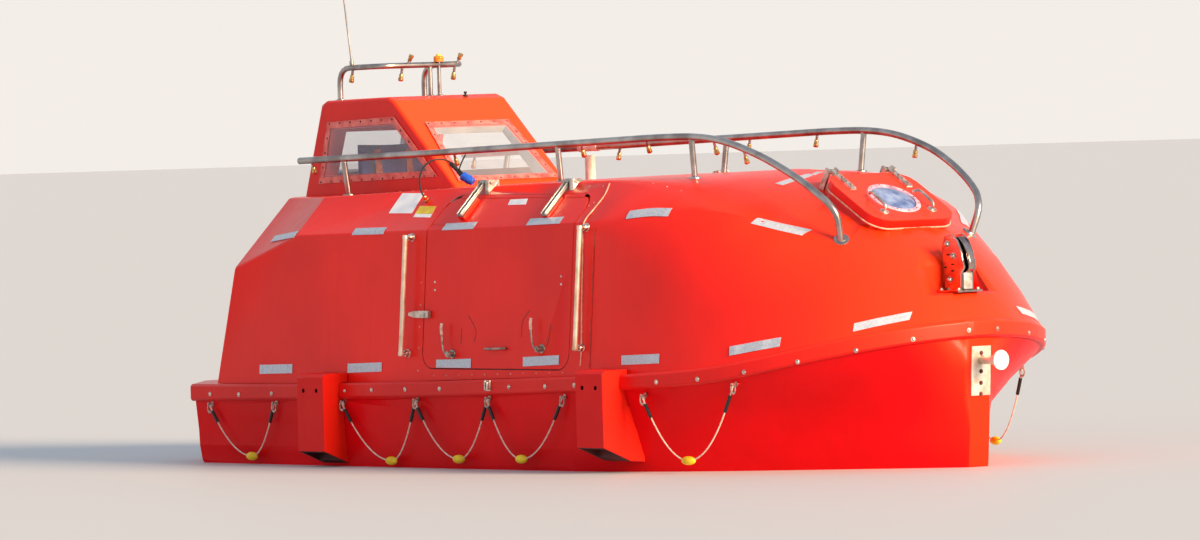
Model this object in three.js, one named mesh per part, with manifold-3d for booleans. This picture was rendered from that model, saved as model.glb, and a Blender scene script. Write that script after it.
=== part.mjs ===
// Totally enclosed lifeboat, davit launched, at real size.
// Millimetres. +X to the bow, +Y to port, +Z up. The origin is on the waterline, on the
// centreline, halfway along the boat.
import * as THREE from 'three';
import { mergeVertices } from 'three/addons/utils/BufferGeometryUtils.js';
import Module from 'manifold-3d';

const wasm = await Module();
wasm.setup();

// Driving dimensions
const WALL = 32; // moulded shell, skin to skin
const GAP = 0.3; // between pieces that touch
const RUN = 6; // between pieces that move past each other
const KEEL_HALF = 67; // half the width of the stem and keel band
const HULL_LIP = 30; // how far the rubbing strake stands out of the hull
const LEDGE = 48; // how far the gunwale reaches in under the canopy wall
const TRIM = 0.025; // the sheer of doors and rails, rise for each mm forward
const RAIL_R = 19;
const POST_R = 16;
const ROUND = 10; // sides of a thin tube
const POLE_R = 11;

// Rubbing strake and gunwale, one half, stern to bow: outer edge x, y, lower z, upper z, and
// the number of steps to the next row.
const SHEER = [
  [-2875, 800, 325, 420, 1],
  [-2490, 1170, 325, 420, 1],
  [-1480, 1170, 341, 428, 1],
  [-236, 1170, 369, 455, 1],
  [800, 1170, 400, 484, 2],
  [1286, 1160, 417, 500, 2],
  [1793, 1085, 445, 530, 2],
  [2077, 1000, 482, 569, 2],
  [2330, 880, 534, 620, 2],
  [2575, 695, 588, 680, 3],
  [2760, 430, 631, 725, 2],
  [2846, 190, 650, 746, 2],
  [2873, 67, 656, 752, 1],
];

// Hull below each row of the strake: waterline x, y; how far in the side is at half height,
// 0.5 where it is straight and more where it flares; bilge x, y, z; keel x, z.
const HULL = [
  [-2835, 772, 0.5, -2800, 700, -110, -2760, -190],
  [-2475, 1112, 0.5, -2450, 1010, -150, -2440, -260],
  [-1480, 1112, 0.5, -1480, 1030, -185, -1480, -410],
  [-236, 1112, 0.5, -236, 1030, -190, -236, -450],
  [800, 1085, 0.52, 800, 990, -195, 800, -450],
  [1230, 1000, 0.55, 1210, 880, -200, 1200, -450],
  [1640, 830, 0.6, 1600, 700, -205, 1560, -445],
  [1920, 665, 0.66, 1860, 545, -205, 1800, -440],
  [2160, 505, 0.72, 2090, 410, -205, 2010, -430],
  [2400, 345, 0.77, 2310, 280, -205, 2200, -415],
  [2600, 210, 0.78, 2510, 175, -205, 2370, -390],
  [2735, 115, 0.72, 2650, 105, -205, 2500, -355],
  [2803, 67, 0.5, 2740, 67, -205, 2590, -320],
];

// Canopy ribs, one half, stern to bow: base x, y; knuckle x, y, z; roof edge x, y, z;
// centreline x, z; how round the two corners are, 0 to 0.5; steps to the next row.
const CANOPY = [
  [-2680, 450, -2565, 450, 1000, -2445, 450, 1436, -2445, 1448, 0.02, 1],
  [-2328, 1100, -2200, 1050, 1061, -2245, 622, 1436, -2245, 1452, 0.02, 1],
  [-1660, 1100, -1660, 1030, 1236, -1687, 800, 1443, -1687, 1460, 0.02, 1],
  [-600, 1100, -600, 1030, 1258, -600, 800, 1481, -600, 1497, 0.02, 1],
  [350, 1100, 350, 1030, 1281, 350, 800, 1506, 350, 1522, 0.02, 1],
  [860, 1100, 860, 1030, 1291, 860, 795, 1514, 860, 1532, 0.04, 2],
  [1230, 1096, 1220, 1025, 1280, 1210, 770, 1512, 1190, 1540, 0.25, 2],
  [1640, 1066, 1600, 974, 1238, 1540, 690, 1495, 1420, 1545, 0.45, 2],
  [2020, 985, 1935, 852, 1178, 1820, 570, 1425, 1620, 1535, 0.5, 2],
  [2330, 862, 2195, 688, 1102, 2045, 440, 1335, 1770, 1528, 0.5, 2],
  [2565, 682, 2415, 530, 1062, 2205, 305, 1285, 1850, 1524, 0.5, 2],
  [2745, 420, 2580, 325, 1022, 2285, 180, 1276, 1885, 1520, 0.5, 2],
  [2835, 180, 2645, 135, 1005, 2322, 75, 1276, 1898, 1518, 0.5, 1],
  [2858, 0, 2662, 0, 1000, 2335, 0, 1278, 1900, 1525, 0.5, 1],
];

// Conning tower. Its side and side pane are x, z; its front pane is across, up the front
// face, and its aft pane across, up the aft face.
const TOWER = {
  side: [[-2416, 1400], [-2229, 1950], [-2184, 1972], [-1625, 1984], [-1565, 1962], [-985, 1440]],
  half: 400,
  wall: 28,
  edge: 26,
  border: 42,
  sidePane: [[-2254, 1510], [-2160, 1850], [-1556, 1872], [-1182, 1540]],
  frontPane: [[-350, 104], [350, 104], [292, 588], [-292, 588]],
  backPane: [[-270, 150], [270, 150], [250, 470], [-250, 470]],
};

// Side doors
const DOOR = { x0: -487, x1: 787, z0: 514, z1: 1446, corner: 95, headroom: 16 };
const DOOR_AXIS = { y: 826, z: 1512 };
const DOOR_PIN_R = 8;
const ARM = { xs: [-231, 495], width: 42, long: 248, low: -12, high: 14 };
const HANDLES = [[-218, 597], [551, 628]];

// Forward hatch: its plane passes the aft edge and falls to the bow
const HATCH = { x: 2141, z: 1340, fall: 29.5, half: 290, length: 500, corner: 110 };
const LID = { low: 15, high: 60 };
const HATCH_PIN = { along: -278, up: 62, r: 7, ys: [-195, 195] };
const PORTHOLE = { along: 20, r: 122 };

// Hook niches
const BOW_NICHE = { x0: 2600, x1: 2900, half: 178, z: 890 };
const STERN_NICHE = { x0: -2800, x1: -2360, half: 178, z: 880 };

// Release hooks: the cheeks, the hook between them and its cross bolts, from the foot's middle
const HOOK_SIDE = [
  [-62, 0], [58, 0], [62, 96], [88, 128], [70, 210], [36, 272], [-8, 306], [-58, 296], [-84, 240], [-80, 120]];
const HOOK_JAW = [
  [-30, 10], [40, 10], [52, 90], [104, 118], [112, 160], [92, 214], [62, 252], [20, 290], [-40, 280], [-60, 120]];
const HOOK_BOLTS = [[-40, 250], [4, 188], [-24, 66]];
const FORWARD_HOOK_X = 2692;
const AFT_HOOK_X = -2500;

// Stern gear, and the skeg's side in x, z
const SKEG = [[-2440, -300], [-2440, -735], [-700, -640], [400, -440], [400, -430], [-1480, -400]];
const SHAFT_Z = -560;
const PROP_X = -2625;
const PROP_R = 162;
const STOCK_R = 18;
const SHAFT_R = 17;
const NOZZLE = { inner: 176, outer: 200, aft: -95, fore: 62 };

// Fender blocks: x from, x to, z of the top, and z of the lower front edge
const FENDERS = { aft: [-1371, -1135, 490, 66], fwd: [1058, 1284, 526, 118] };

// Grab rails beside the doors: x, z from, z to
const GRABS = { aft: [-610, 590, 1233], fwd: [890, 628, 1279] };

// Handrail on the starboard side: x, y, z. The port one mirrors it.
const HANDRAIL = [
  [-2196, -580, 1641], [-1000, -586, 1672], [300, -594, 1712], [1000, -600, 1733],
  [1300, -602, 1732], [1541, -604, 1704], [1787, -600, 1637], [1970, -582, 1561],
  [2110, -560, 1487], [2200, -543, 1426], [2262, -520, 1374], [2298, -490, 1300], [2278, -450, 1170],
];
// Its posts, each with how far its foot leans in, and its spray nozzles
const STANCHIONS = [[-1792, 38], [120, 24], [1262, 24]];
const NOZZLES = { starboard: [-2090, -796, 320, 881, 1447, 1690], port: [-2090, -796, 320, 881, 1690] };

// Becketed grab lines: the eyes' x, z, with y found on the hull's side. Each eye after a run's
// first also has its bight's low point with the float: how far along it lies, and its z.
const LINES = {
  aft: [[-2325, 303], [-1734, 313, 0.64, 26]],
  mid: [[-1117, 328], [-468, 344, 0.66, 19], [160, 358, 0.59, 36], [801, 370, 0.44, 44]],
  fwd: [[1435, 383], [2030, 440, 0.49, 50]],
};
const LINE_R = 4;
const LINE_TAIL = 20;
const EYE_UP = 8.25; // from the line's middle to the eye's
const FLOAT = { half: 45, r: 24 };

// Charging lead: from its gland on the slanted panel to the tie under the handrail
const GLAND = [[-679, -846, 1396], [-679, -888, 1439]];
const LEAD = [
  [-679, -888.4, 1439.4], [-679, -897.8, 1449], [-686, -904, 1470], [-702, -901, 1502], [-723, -885, 1540],
  [-742, -856, 1577], [-756, -818, 1609], [-763, -772, 1631], [-762, -726, 1640], [-756, -688, 1637],
  [-745.5, -660.6, 1625.9], [-737.9, -657.3, 1617.9],
];
const LEAD_R = 5;
const LEAD_PLUG = [[-737.6, -657.2, 1617.6], [-668, -628, 1545], [-606, -604, 1508]];

// Plate on the stem with the towing pin: its ends in z, the pin's z, and how far it stands out
const STEM_PLATE = { low: 352, high: 610, pin: 538, reach: 160 };

// Tower's top, and its panes' thickness
const TOP_Z = 1978;
const PANE = 6;

// Inside: the sole, the helm seat, the wheel and the engine's casing
const SOLE_Z = -30;
const SEAT = { x: -2010, top: 980, back: 1720 };
const WHEEL = { x: -1450, z: 1150, r: 180, rim: 12 };
const CASING = { x0: -1690, x1: -810, half: 300, top: 330, wall: 20 };
const ENGINE = { x0: -1600, x1: -900, half: 225, low: -262, top: 250 };

const RED = 0xdc2018;
const DEEP_RED = 0xc8141a;
const STEEL = 0xb8b4ae;
const PANE_TINT = 0xdfe3e2;

const boat = new THREE.Group();

// Solids

function toSolid(geometry) {
  const bare = geometry.clone();
  bare.deleteAttribute('normal');
  bare.deleteAttribute('uv');
  const merged = mergeVertices(bare.index ? bare.toNonIndexed() : bare, 1e-3);
  return new wasm.Manifold(new wasm.Mesh({
    numProp: 3,
    vertProperties: new Float32Array(merged.attributes.position.array),
    triVerts: new Uint32Array(merged.index.array),
  }));
}

function toGeometry(solid) {
  const mesh = solid.getMesh();
  const geometry = new THREE.BufferGeometry();
  geometry.setAttribute('position', new THREE.BufferAttribute(new Float32Array(mesh.vertProperties), 3));
  geometry.setIndex(new THREE.BufferAttribute(new Uint32Array(mesh.triVerts), 1));
  return geometry;
}

function join(...solids) {
  return solids.reduce((a, b) => a.add(b));
}

function add(name, solid, color, roughness = 0.35, metalness = 0) {
  const material = new THREE.MeshStandardMaterial({ color, roughness, metalness });
  const mesh = new THREE.Mesh(toGeometry(solid), material);
  mesh.name = name;
  boat.add(mesh);
  return mesh;
}

function placed(geometry, x, y, z, rx = 0, ry = 0, rz = 0) {
  const turn = new THREE.Euler(rx, ry, rz);
  const matrix = new THREE.Matrix4().makeRotationFromEuler(turn).setPosition(x, y, z);
  return toSolid(geometry.clone().applyMatrix4(matrix));
}

function block(x0, x1, y0, y1, z0, z1) {
  const geometry = new THREE.BoxGeometry(x1 - x0, y1 - y0, z1 - z0);
  return placed(geometry, (x0 + x1) / 2, (y0 + y1) / 2, (z0 + z1) / 2);
}

// A round bar from a to b
function bar(a, b, radius, sides = ROUND) {
  const from = new THREE.Vector3(...a);
  const along = new THREE.Vector3(...b).sub(from);
  const geometry = new THREE.CylinderGeometry(radius, radius, along.length(), sides);
  geometry.translate(0, along.length() / 2, 0);
  geometry.applyQuaternion(new THREE.Quaternion().setFromUnitVectors(
    new THREE.Vector3(0, 1, 0), along.clone().normalize()));
  geometry.translate(from.x, from.y, from.z);
  return toSolid(geometry);
}

// A tube through points, its corners bent to the given radius
function tube(points, radius, bend, sides = 10, perBend = 4) {
  const path = new THREE.CurvePath();
  const at = points.map((p) => new THREE.Vector3(...p));
  let last = at[0];
  for (let i = 1; i < at.length - 1; i += 1) {
    const back = at[i - 1].clone().sub(at[i]);
    const ahead = at[i + 1].clone().sub(at[i]);
    const reach = Math.min(bend, back.length() * 0.49, ahead.length() * 0.49);
    const start = at[i].clone().add(back.normalize().multiplyScalar(reach));
    const end = at[i].clone().add(ahead.normalize().multiplyScalar(reach));
    path.add(new THREE.LineCurve3(last, start));
    path.add(new THREE.QuadraticBezierCurve3(start, at[i], end));
    last = end;
  }
  path.add(new THREE.LineCurve3(last, at[at.length - 1]));
  const line = [];
  path.curves.forEach((curve, i) => {
    const steps = curve instanceof THREE.LineCurve3 ? 1 : perBend;
    for (let k = i === 0 ? 0 : 1; k <= steps; k += 1) line.push(curve.getPoint(k / steps));
  });
  return sweep(line, radius, sides);
}

// A closed round tube along a polyline, with a section square to it at each point
function sweep(line, radius, sides) {
  const curve = new THREE.CurvePath();
  for (let i = 1; i < line.length; i += 1) curve.add(new THREE.LineCurve3(line[i - 1], line[i]));
  const section = new THREE.Shape();
  for (let k = 0; k < sides; k += 1) {
    const a = (k * 2 * Math.PI) / sides;
    const [x, y] = [radius * Math.cos(a), radius * Math.sin(a)];
    if (k === 0) section.moveTo(x, y);
    else section.lineTo(x, y);
  }
  section.closePath();
  const smooth = new THREE.CatmullRomCurve3(line, false, 'centripetal');
  const length = line.length - 1;
  smooth.getPointAt = (t) => {
    const i = Math.min(length - 1, Math.floor(t * length + 1e-9));
    return line[i].clone().lerp(line[i + 1], t * length - i);
  };
  smooth.getTangentAt = (t) => {
    const i = Math.round(t * length);
    const into = line[Math.max(1, i)].clone().sub(line[Math.max(1, i) - 1]).normalize();
    const onward = line[Math.min(length, i + 1)].clone().sub(line[Math.min(length, i + 1) - 1]).normalize();
    return into.add(onward).normalize();
  };
  smooth.getTangent = smooth.getTangentAt;
  smooth.getPoint = smooth.getPointAt;
  return toSolid(new THREE.ExtrudeGeometry(section, { steps: length, extrudePath: smooth, bevelEnabled: false }));
}

// A flat shape given as x, z points, extruded along Y between y0 and y1
function profile(points, y0, y1) {
  const shape = new THREE.Shape(points.map(([x, z]) => new THREE.Vector2(x, z)));
  const geometry = new THREE.ExtrudeGeometry(shape, { depth: y1 - y0, bevelEnabled: false, steps: 1 });
  return placed(geometry, 0, y1, 0, Math.PI / 2);
}

// Rounded rectangle in x, z
function roundedRect(x0, x1, z0, z1, r, steps = 5) {
  const corners = [[x1 - r, z0 + r, -90], [x1 - r, z1 - r, 0], [x0 + r, z1 - r, 90], [x0 + r, z0 + r, 180]];
  return corners.flatMap(([cx, cz, start]) => Array.from({ length: steps + 1 }, (_, k) => {
    const a = THREE.MathUtils.degToRad(start + (90 * k) / steps);
    return [cx + r * Math.cos(a), cz + r * Math.sin(a)];
  }));
}

// Lofted bodies

// Rows between the rows of a table, by a curve through them
function refine(table, stepsOf, mirrored) {
  const past = (i) => {
    if (i < 0) return table[0];
    if (i < table.length) return table[i];
    const row = table[table.length - 2];
    return mirrored ? row.map((v, c) => (mirrored.includes(c) ? -v : v)) : table[table.length - 1];
  };
  const rows = [];
  table.forEach((row, i) => {
    const steps = i === table.length - 1 ? 1 : stepsOf(i);
    for (let k = 0; k < steps; k += 1) {
      const t = k / steps;
      rows.push(row.map((v, c) => {
        const [a, b, d, e] = [past(i - 1)[c], v, past(i + 1)[c], past(i + 2)[c]];
        if (k === 0) return v;
        return b + 0.5 * t * (d - a + t * (2 * a - 5 * b + 4 * d - e + t * (3 * (b - d) + e - a)));
      }));
    }
  });
  return rows;
}

// A body through half ribs that run from the rim to the middle, closed across the rim. With
// an inset it is moved in along its normals, and its rim moves by lift to break through.
function skin(ribs, inset = 0, lift = 0) {
  const vertices = [];
  const keys = new Map();
  const indexOf = (p) => {
    const key = p.map((v) => Math.round(v * 1000)).join();
    if (!keys.has(key)) {
      keys.set(key, vertices.length);
      vertices.push(new THREE.Vector3(...p));
    }
    return keys.get(key);
  };
  const rings = ribs.map((rib) => [
    ...rib.map(([x, y, z]) => indexOf([x, -y, z])),
    ...[...rib].reverse().map(([x, y, z]) => indexOf([x, y, z])),
  ]);
  const size = rings[0].length;
  const faces = [];
  const quad = (a, b, c, d, rim) => {
    for (const t of [[a, b, c], [a, c, d]]) {
      if (new Set(t).size === 3) faces.push({ t, rim });
    }
  };
  for (let i = 0; i < rings.length - 1; i += 1) {
    for (let j = 0; j < size; j += 1) {
      const k = (j + 1) % size;
      quad(rings[i][j], rings[i][k], rings[i + 1][k], rings[i + 1][j], j === size - 1);
    }
  }
  const [first, last] = [rings[0], rings[rings.length - 1]];
  for (let j = 0; j < size / 2 - 1; j += 1) {
    const k = size - 1 - j;
    quad(first[j], first[k], first[k - 1], first[j + 1], false);
    quad(last[j], last[j + 1], last[k - 1], last[k], false);
  }
  let volume = 0;
  for (const { t } of faces) {
    const [a, b, c] = t.map((i) => vertices[i]);
    volume += a.dot(b.clone().cross(c));
  }
  if (volume < 0) faces.forEach((f) => f.t.reverse());
  if (inset) {
    const normals = vertices.map(() => new THREE.Vector3());
    for (const { t, rim } of faces) {
      if (rim) continue;
      const [a, b, c] = t.map((i) => vertices[i]);
      const n = b.clone().sub(a).cross(c.clone().sub(a));
      t.forEach((i) => normals[i].add(n));
    }
    const rims = new Set(rings.flatMap((r) => [r[0], r[size - 1]]));
    vertices.forEach((v, i) => {
      const n = normals[i];
      if (rims.has(i)) n.z = 0;
      v.addScaledVector(n.normalize(), -inset);
      if (rims.has(i)) v.z += lift;
    });
  }
  const geometry = new THREE.BufferGeometry();
  const flat = new Float32Array(vertices.flatMap((v) => [v.x, v.y, v.z]));
  geometry.setAttribute('position', new THREE.BufferAttribute(flat, 3));
  geometry.setIndex(faces.flatMap((f) => f.t));
  return toSolid(geometry);
}

const sheerRows = refine(SHEER, (i) => SHEER[i][4]);
const hullRows = refine(HULL, (i) => SHEER[i][4]);

// The strake's outer edge moved in by a distance
function outline(inset) {
  return sheerRows.map(([x, y, low, high], i) => {
    const before = sheerRows[Math.max(0, i - 1)];
    const after = sheerRows[Math.min(sheerRows.length - 1, i + 1)];
    const [dx, dy] = [after[0] - before[0], after[1] - before[1]];
    const long = Math.hypot(dx, dy);
    return [x + (dy / long) * inset, y - (dx / long) * inset, low, high];
  });
}

const hullRim = outline(HULL_LIP);
const hullRibs = hullRows.map(([wx, wy, flare, bx, by, bz, kx, kz], i) => {
  const [sx, sy, low] = hullRim[i];
  const z = low - GAP;
  const y = Math.max(sy, KEEL_HALF);
  const knots = [
    [sx, y, z],
    [sx + (wx - sx) * flare, y + (wy - y) * flare, z / 2],
    [wx, wy, 0],
    [bx, by, bz],
    [kx, KEEL_HALF, kz],
  ].map((p) => new THREE.Vector3(...p));
  const curve = new THREE.CatmullRomCurve3(knots, false, 'centripetal');
  return Array.from({ length: 9 }, (_, k) => {
    const p = curve.getPoint(k / 8);
    return [p.x, Math.max(p.y, KEEL_HALF), Math.min(p.z, z)];
  });
});

const canopyRows = refine(CANOPY, (i) => CANOPY[i][11], [1, 3, 6]);

function gunwaleTop(x) {
  const i = Math.max(1, sheerRows.findIndex((r) => r[0] >= x));
  const [a, b] = [sheerRows[i - 1], sheerRows[i]];
  if (x >= sheerRows[sheerRows.length - 1][0]) return sheerRows[sheerRows.length - 1][3];
  return a[3] + ((b[3] - a[3]) * (x - a[0])) / (b[0] - a[0]);
}

const canopyRibs = canopyRows.map(([bx, by, kx, ky, kz, sx, sy, sz, tx, tz, round]) => {
  const [base, knuckle, edge, top] = [
    [bx, by, gunwaleTop(bx) + GAP], [kx, ky, kz], [sx, sy, sz], [tx, 0, tz],
  ].map((p) => new THREE.Vector3(...p));
  const corner = (before, at, after) => {
    const curve = new THREE.QuadraticBezierCurve3(
      at.clone().lerp(before, round), at, at.clone().lerp(after, round));
    return [0, 0.5, 1].map((t) => curve.getPoint(t));
  };
  return [base, ...corner(base, knuckle, edge), ...corner(knuckle, edge, top), top]
    .map((p) => [p.x, p.y, p.z]);
});

// Hull: one moulding with its skeg, engine beds, shaft log and rudder tube

function hullShell() {
  const shell = skin(hullRibs).subtract(skin(hullRibs, WALL, 200));
  const skeg = profile(SKEG, -32, 32);
  const heel = block(PROP_X - 60, -2400, -30, 30, -806, -774);
  const heelPost = block(-2440, -2380, -30, 30, -806, -700);
  const beds = [-190, 190].map((y) => block(-1650, -850, y - 35, y + 35, -400, ENGINE.low));
  const bossLog = bar([-2440, 0, SHAFT_Z], [-1900, 0, SHAFT_Z], 44, 16);
  const solid = join(shell, skeg, heel, heelPost, bossLog, ...beds.map((b) => b.intersect(skin(hullRibs))));
  const shaftBore = bar([-2500, 0, SHAFT_Z], [-1850, 0, SHAFT_Z], SHAFT_R + 0.5, 16);
  const rudderTube = bar([PROP_X, 0, -500], [PROP_X, 0, 100], STOCK_R + 0.5, 16);
  const eyes = [-1, 1].flatMap((side) => Object.values(LINES).flat().map(([x, z]) => {
    const y = hullSideY(x);
    return bar([x, side * (y - 90), z + EYE_UP], [x, side * (y + 28), z + EYE_UP], 4, 4);
  }));
  const pintle = bar([PROP_X, 0, -850], [PROP_X, 0, -700], STOCK_R + 0.5, 16);
  return join(solid, ...eyes.map((e) => e.subtract(skin(hullRibs, 4, 20))))
    .subtract(shaftBore).subtract(rudderTube).subtract(pintle);
}
add('hull_shell', hullShell(), DEEP_RED);

// Gunwale with the rubbing strake: one ring right round the boat
function gunwale(grow = 0) {
  const outer = outline(-grow);
  const edge = outline(12 - grow);
  const inner = gunwaleInner();
  const section = outer.map((o, i) => [
    [edge[i][0], edge[i][1], o[2] - grow],
    [o[0], o[1], o[2] + 12],
    [o[0], o[1], o[3] - 14],
    [edge[i][0], edge[i][1], o[3] + grow],
    [inner[i][0], inner[i][1], o[3] + grow],
    [inner[i][0], inner[i][1], o[2] - grow],
  ]);
  const loop = [...section, ...[...section].reverse().map((s) => s.map(([x, y, z]) => [x, -y, z]))];
  const points = loop.flat();
  const index = [];
  const [count, size] = [loop.length, 6];
  for (let i = 0; i < count; i += 1) {
    for (let j = 0; j < size; j += 1) {
      const [a, b] = [i * size + j, i * size + ((j + 1) % size)];
      const [c, d] = [((i + 1) % count) * size + ((j + 1) % size), ((i + 1) % count) * size + j];
      index.push(a, b, c, a, c, d);
    }
  }
  const geometry = new THREE.BufferGeometry();
  geometry.setAttribute('position', new THREE.BufferAttribute(new Float32Array(points.flat()), 3));
  geometry.setIndex(index);
  return toSolid(geometry);
}

// The gunwale's inner edge, just inside the canopy wall
function gunwaleInner() {
  return sheerRows.map(([x, y], i) => {
    if (i === 0) return [-2600, 430];
    if (i === 1) return [-2250, 1100 - LEDGE];
    const inset = 70 + LEDGE;
    const before = sheerRows[i - 1];
    const after = sheerRows[Math.min(sheerRows.length - 1, i + 1)];
    const [dx, dy] = [after[0] - before[0], after[1] - before[1]];
    const long = Math.hypot(dx, dy);
    const bow = i === sheerRows.length - 1;
    return [x + (dy / long) * inset, bow ? 40 : y - (dx / long) * inset];
  });
}

// Canopy
const doorOutline = roundedRect(DOOR.x0, DOOR.x1, DOOR.z0, DOOR.z1, DOOR.corner);
const leafOutline = roundedRect(
  DOOR.x0 + RUN, DOOR.x1 - RUN, DOOR.z0 + RUN, DOOR.z1 - DOOR.headroom, DOOR.corner - RUN);
const canopyBody = skin(canopyRibs);
const canopyWall = canopyBody.subtract(skin(canopyRibs, WALL, -200));
const hullAround = skin(hullRibs, -GAP, GAP);
const canopyAround = skin(canopyRibs, -GAP, -GAP);
add('rubbing_strake', gunwale().subtract(hullAround).subtract(canopyAround), RED);

// A shape given as points along and across the hatch's plane, raised from low to high over it
function onHatch(points, low, high) {
  const shape = new THREE.Shape(points.map(([x, y]) => new THREE.Vector2(x, y)));
  const geometry = new THREE.ExtrudeGeometry(shape, { depth: high - low, bevelEnabled: false });
  geometry.translate(0, 0, low);
  return placed(geometry, HATCH.x, 0, HATCH.z, 0, THREE.MathUtils.degToRad(HATCH.fall), 0);
}

// A point on the hatch's plane, in the boat's frame
function hatchPoint(along, across, up) {
  const turn = THREE.MathUtils.degToRad(HATCH.fall);
  return [
    HATCH.x + along * Math.cos(turn) + up * Math.sin(turn),
    across,
    HATCH.z - along * Math.sin(turn) + up * Math.cos(turn),
  ];
}

// The lid's outline on that plane, moved in by a distance
function lidOutline(inset) {
  const [a, b] = [HATCH.length / 2 - inset, HATCH.half - inset];
  return roundedRect(-a, a, -b, b, HATCH.corner - inset, 3);
}

// Hinge bracket on the roof edge: a foot beside the arm, and the pin that the arm turns on
function doorBracket(x, side) {
  const near = x + ARM.width / 2 + 8;
  const [y0, y1] = side > 0 ? [770, 844] : [-844, -770];
  const foot = block(near, near + 30, y0, y1, 1400, DOOR_AXIS.z + 14);
  const pin = bar([x - ARM.width / 2 - 6, side * DOOR_AXIS.y, DOOR_AXIS.z],
    [near + 20, side * DOOR_AXIS.y, DOOR_AXIS.z], DOOR_PIN_R);
  return foot.subtract(canopyBody).add(pin);
}

// Hatch hinge on the coaming: two lugs and a pin between them
function hatchLugs(y) {
  const [aft, fore] = [HATCH_PIN.along - 22, HATCH_PIN.along + 14];
  const lugs = [-38, 24].map((d) => onHatch(
    [[aft, y + d], [fore, y + d], [fore, y + d + 14], [aft, y + d + 14]], -60, HATCH_PIN.up + 12));
  const [from, to] = [-38, 38].map((d) => hatchPoint(HATCH_PIN.along, y + d, HATCH_PIN.up));
  return join(...lugs).subtract(canopyBody).add(bar(from, to, HATCH_PIN.r));
}

function canopyShell() {
  const bow = (grow) => block(BOW_NICHE.x0 - grow, BOW_NICHE.x1,
    -BOW_NICHE.half - grow, BOW_NICHE.half + grow, BOW_NICHE.z - grow, 1400);
  const stern = (grow) => block(STERN_NICHE.x0, STERN_NICHE.x1 + grow,
    -STERN_NICHE.half - grow, STERN_NICHE.half + grow, STERN_NICHE.z - grow, 1300 + grow);
  const hatchFrame = onHatch(lidOutline(-RUN - WALL), -90, 200).intersect(canopyBody);
  const cavity = skin(canopyRibs, WALL, -200).subtract(bow(WALL)).subtract(stern(WALL)).subtract(hatchFrame);
  const towerWell = profile(
    [[-2290, 1300], [-2290, 1560], [-1120, 1560], [-1120, 1300]], 40 - TOWER.half, TOWER.half - 40);
  const fittings = [
    onHatch(lidOutline(14), -90, LID.low - 1),
    ...[-1, 1].flatMap((side) => ARM.xs.map((x) => doorBracket(x, side))),
    bar(...GLAND, 13, 10),
  ];
  return join(canopyBody, ...fittings).subtract(cavity)
    .subtract(bow(0)).subtract(stern(0)).subtract(towerWell)
    .subtract(onHatch(lidOutline(50), -300, LID.low))
    .subtract(onHatch(lidOutline(-2 * RUN), LID.low - 1, 200))
    .add(join(...HATCH_PIN.ys.map(hatchLugs)))
    .subtract(profile(doorOutline, -1300, -760))
    .subtract(profile(doorOutline, 760, 1300));
}
add('canopy_shell', canopyShell(), RED);

// Half width of the side panel at height z
function panelY(z) {
  return 1100 - (70 * (z - 445)) / 813;
}

// Side door: the leaf, a wedge under each hinge arm, and two turning handles
function door(side) {
  const band = side > 0 ? [760, 1300] : [-1300, -760];
  const wedges = ARM.xs.map((x) => slanted(x - 24, x + 24, 104, ARM.long, -70, ARM.low - GAP, side));
  const handles = HANDLES.map(([x, z]) => {
    const y = panelY(z);
    return join(
      bar([x, side * (y - 10), z], [x, side * (y + 40), z], 12, 8),
      tube([[x, side * (y + 34), z], [x - 30, side * (y + 36), z + 30], [x - 62, side * (y + 40), z + 134]],
        6, 20, 8, 2));
  });
  const leaf = canopyWall.intersect(profile(leafOutline, ...band));
  const inside = skin(canopyRibs, WALL, -200);
  return join(leaf, ...wedges.map((w) => w.subtract(inside)), ...handles);
}

// A bar that lies down the slanted panel from the hinge axis
function slanted(x0, x1, from, to, low, high, side) {
  const [ny, nz] = [0.699, 0.715];
  const [ty, tz] = [0.715, -0.699];
  const at = (along, up) => [
    side * (DOOR_AXIS.y + ty * along + ny * up), DOOR_AXIS.z + tz * along + nz * up];
  const points = [at(from, low), at(to, low), at(to, high), at(from, high)];
  const shape = new THREE.Shape(points.map(([y, z]) => new THREE.Vector2(y, z)));
  const geometry = new THREE.ExtrudeGeometry(shape, { depth: x1 - x0, bevelEnabled: false });
  const turn = new THREE.Matrix4().set(0, 0, 1, x0, 1, 0, 0, 0, 0, 1, 0, 0, 0, 0, 0, 1);
  return toSolid(geometry.applyMatrix4(turn));
}

function doorArm(x, side) {
  const [x0, x1] = [x - ARM.width / 2, x + ARM.width / 2];
  const rail = slanted(x0, x1, -2, ARM.long, ARM.low, ARM.high, side);
  const eye = bar([x0, side * DOOR_AXIS.y, DOOR_AXIS.z], [x1, side * DOOR_AXIS.y, DOOR_AXIS.z], 16);
  const bore = bar([x0 - 5, side * DOOR_AXIS.y, DOOR_AXIS.z], [x1 + 5, side * DOOR_AXIS.y, DOOR_AXIS.z],
    DOOR_PIN_R + 0.5);
  return rail.add(eye).subtract(bore);
}

for (const [word, side] of [['starboard', -1], ['port', 1]]) {
  add(`${word}_door`, door(side), RED);
  ARM.xs.forEach((x, i) => add(`${word}_door_arm_${i ? 'fwd' : 'aft'}`, doorArm(x, side), STEEL, 0.3, 0.9));
}

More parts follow.
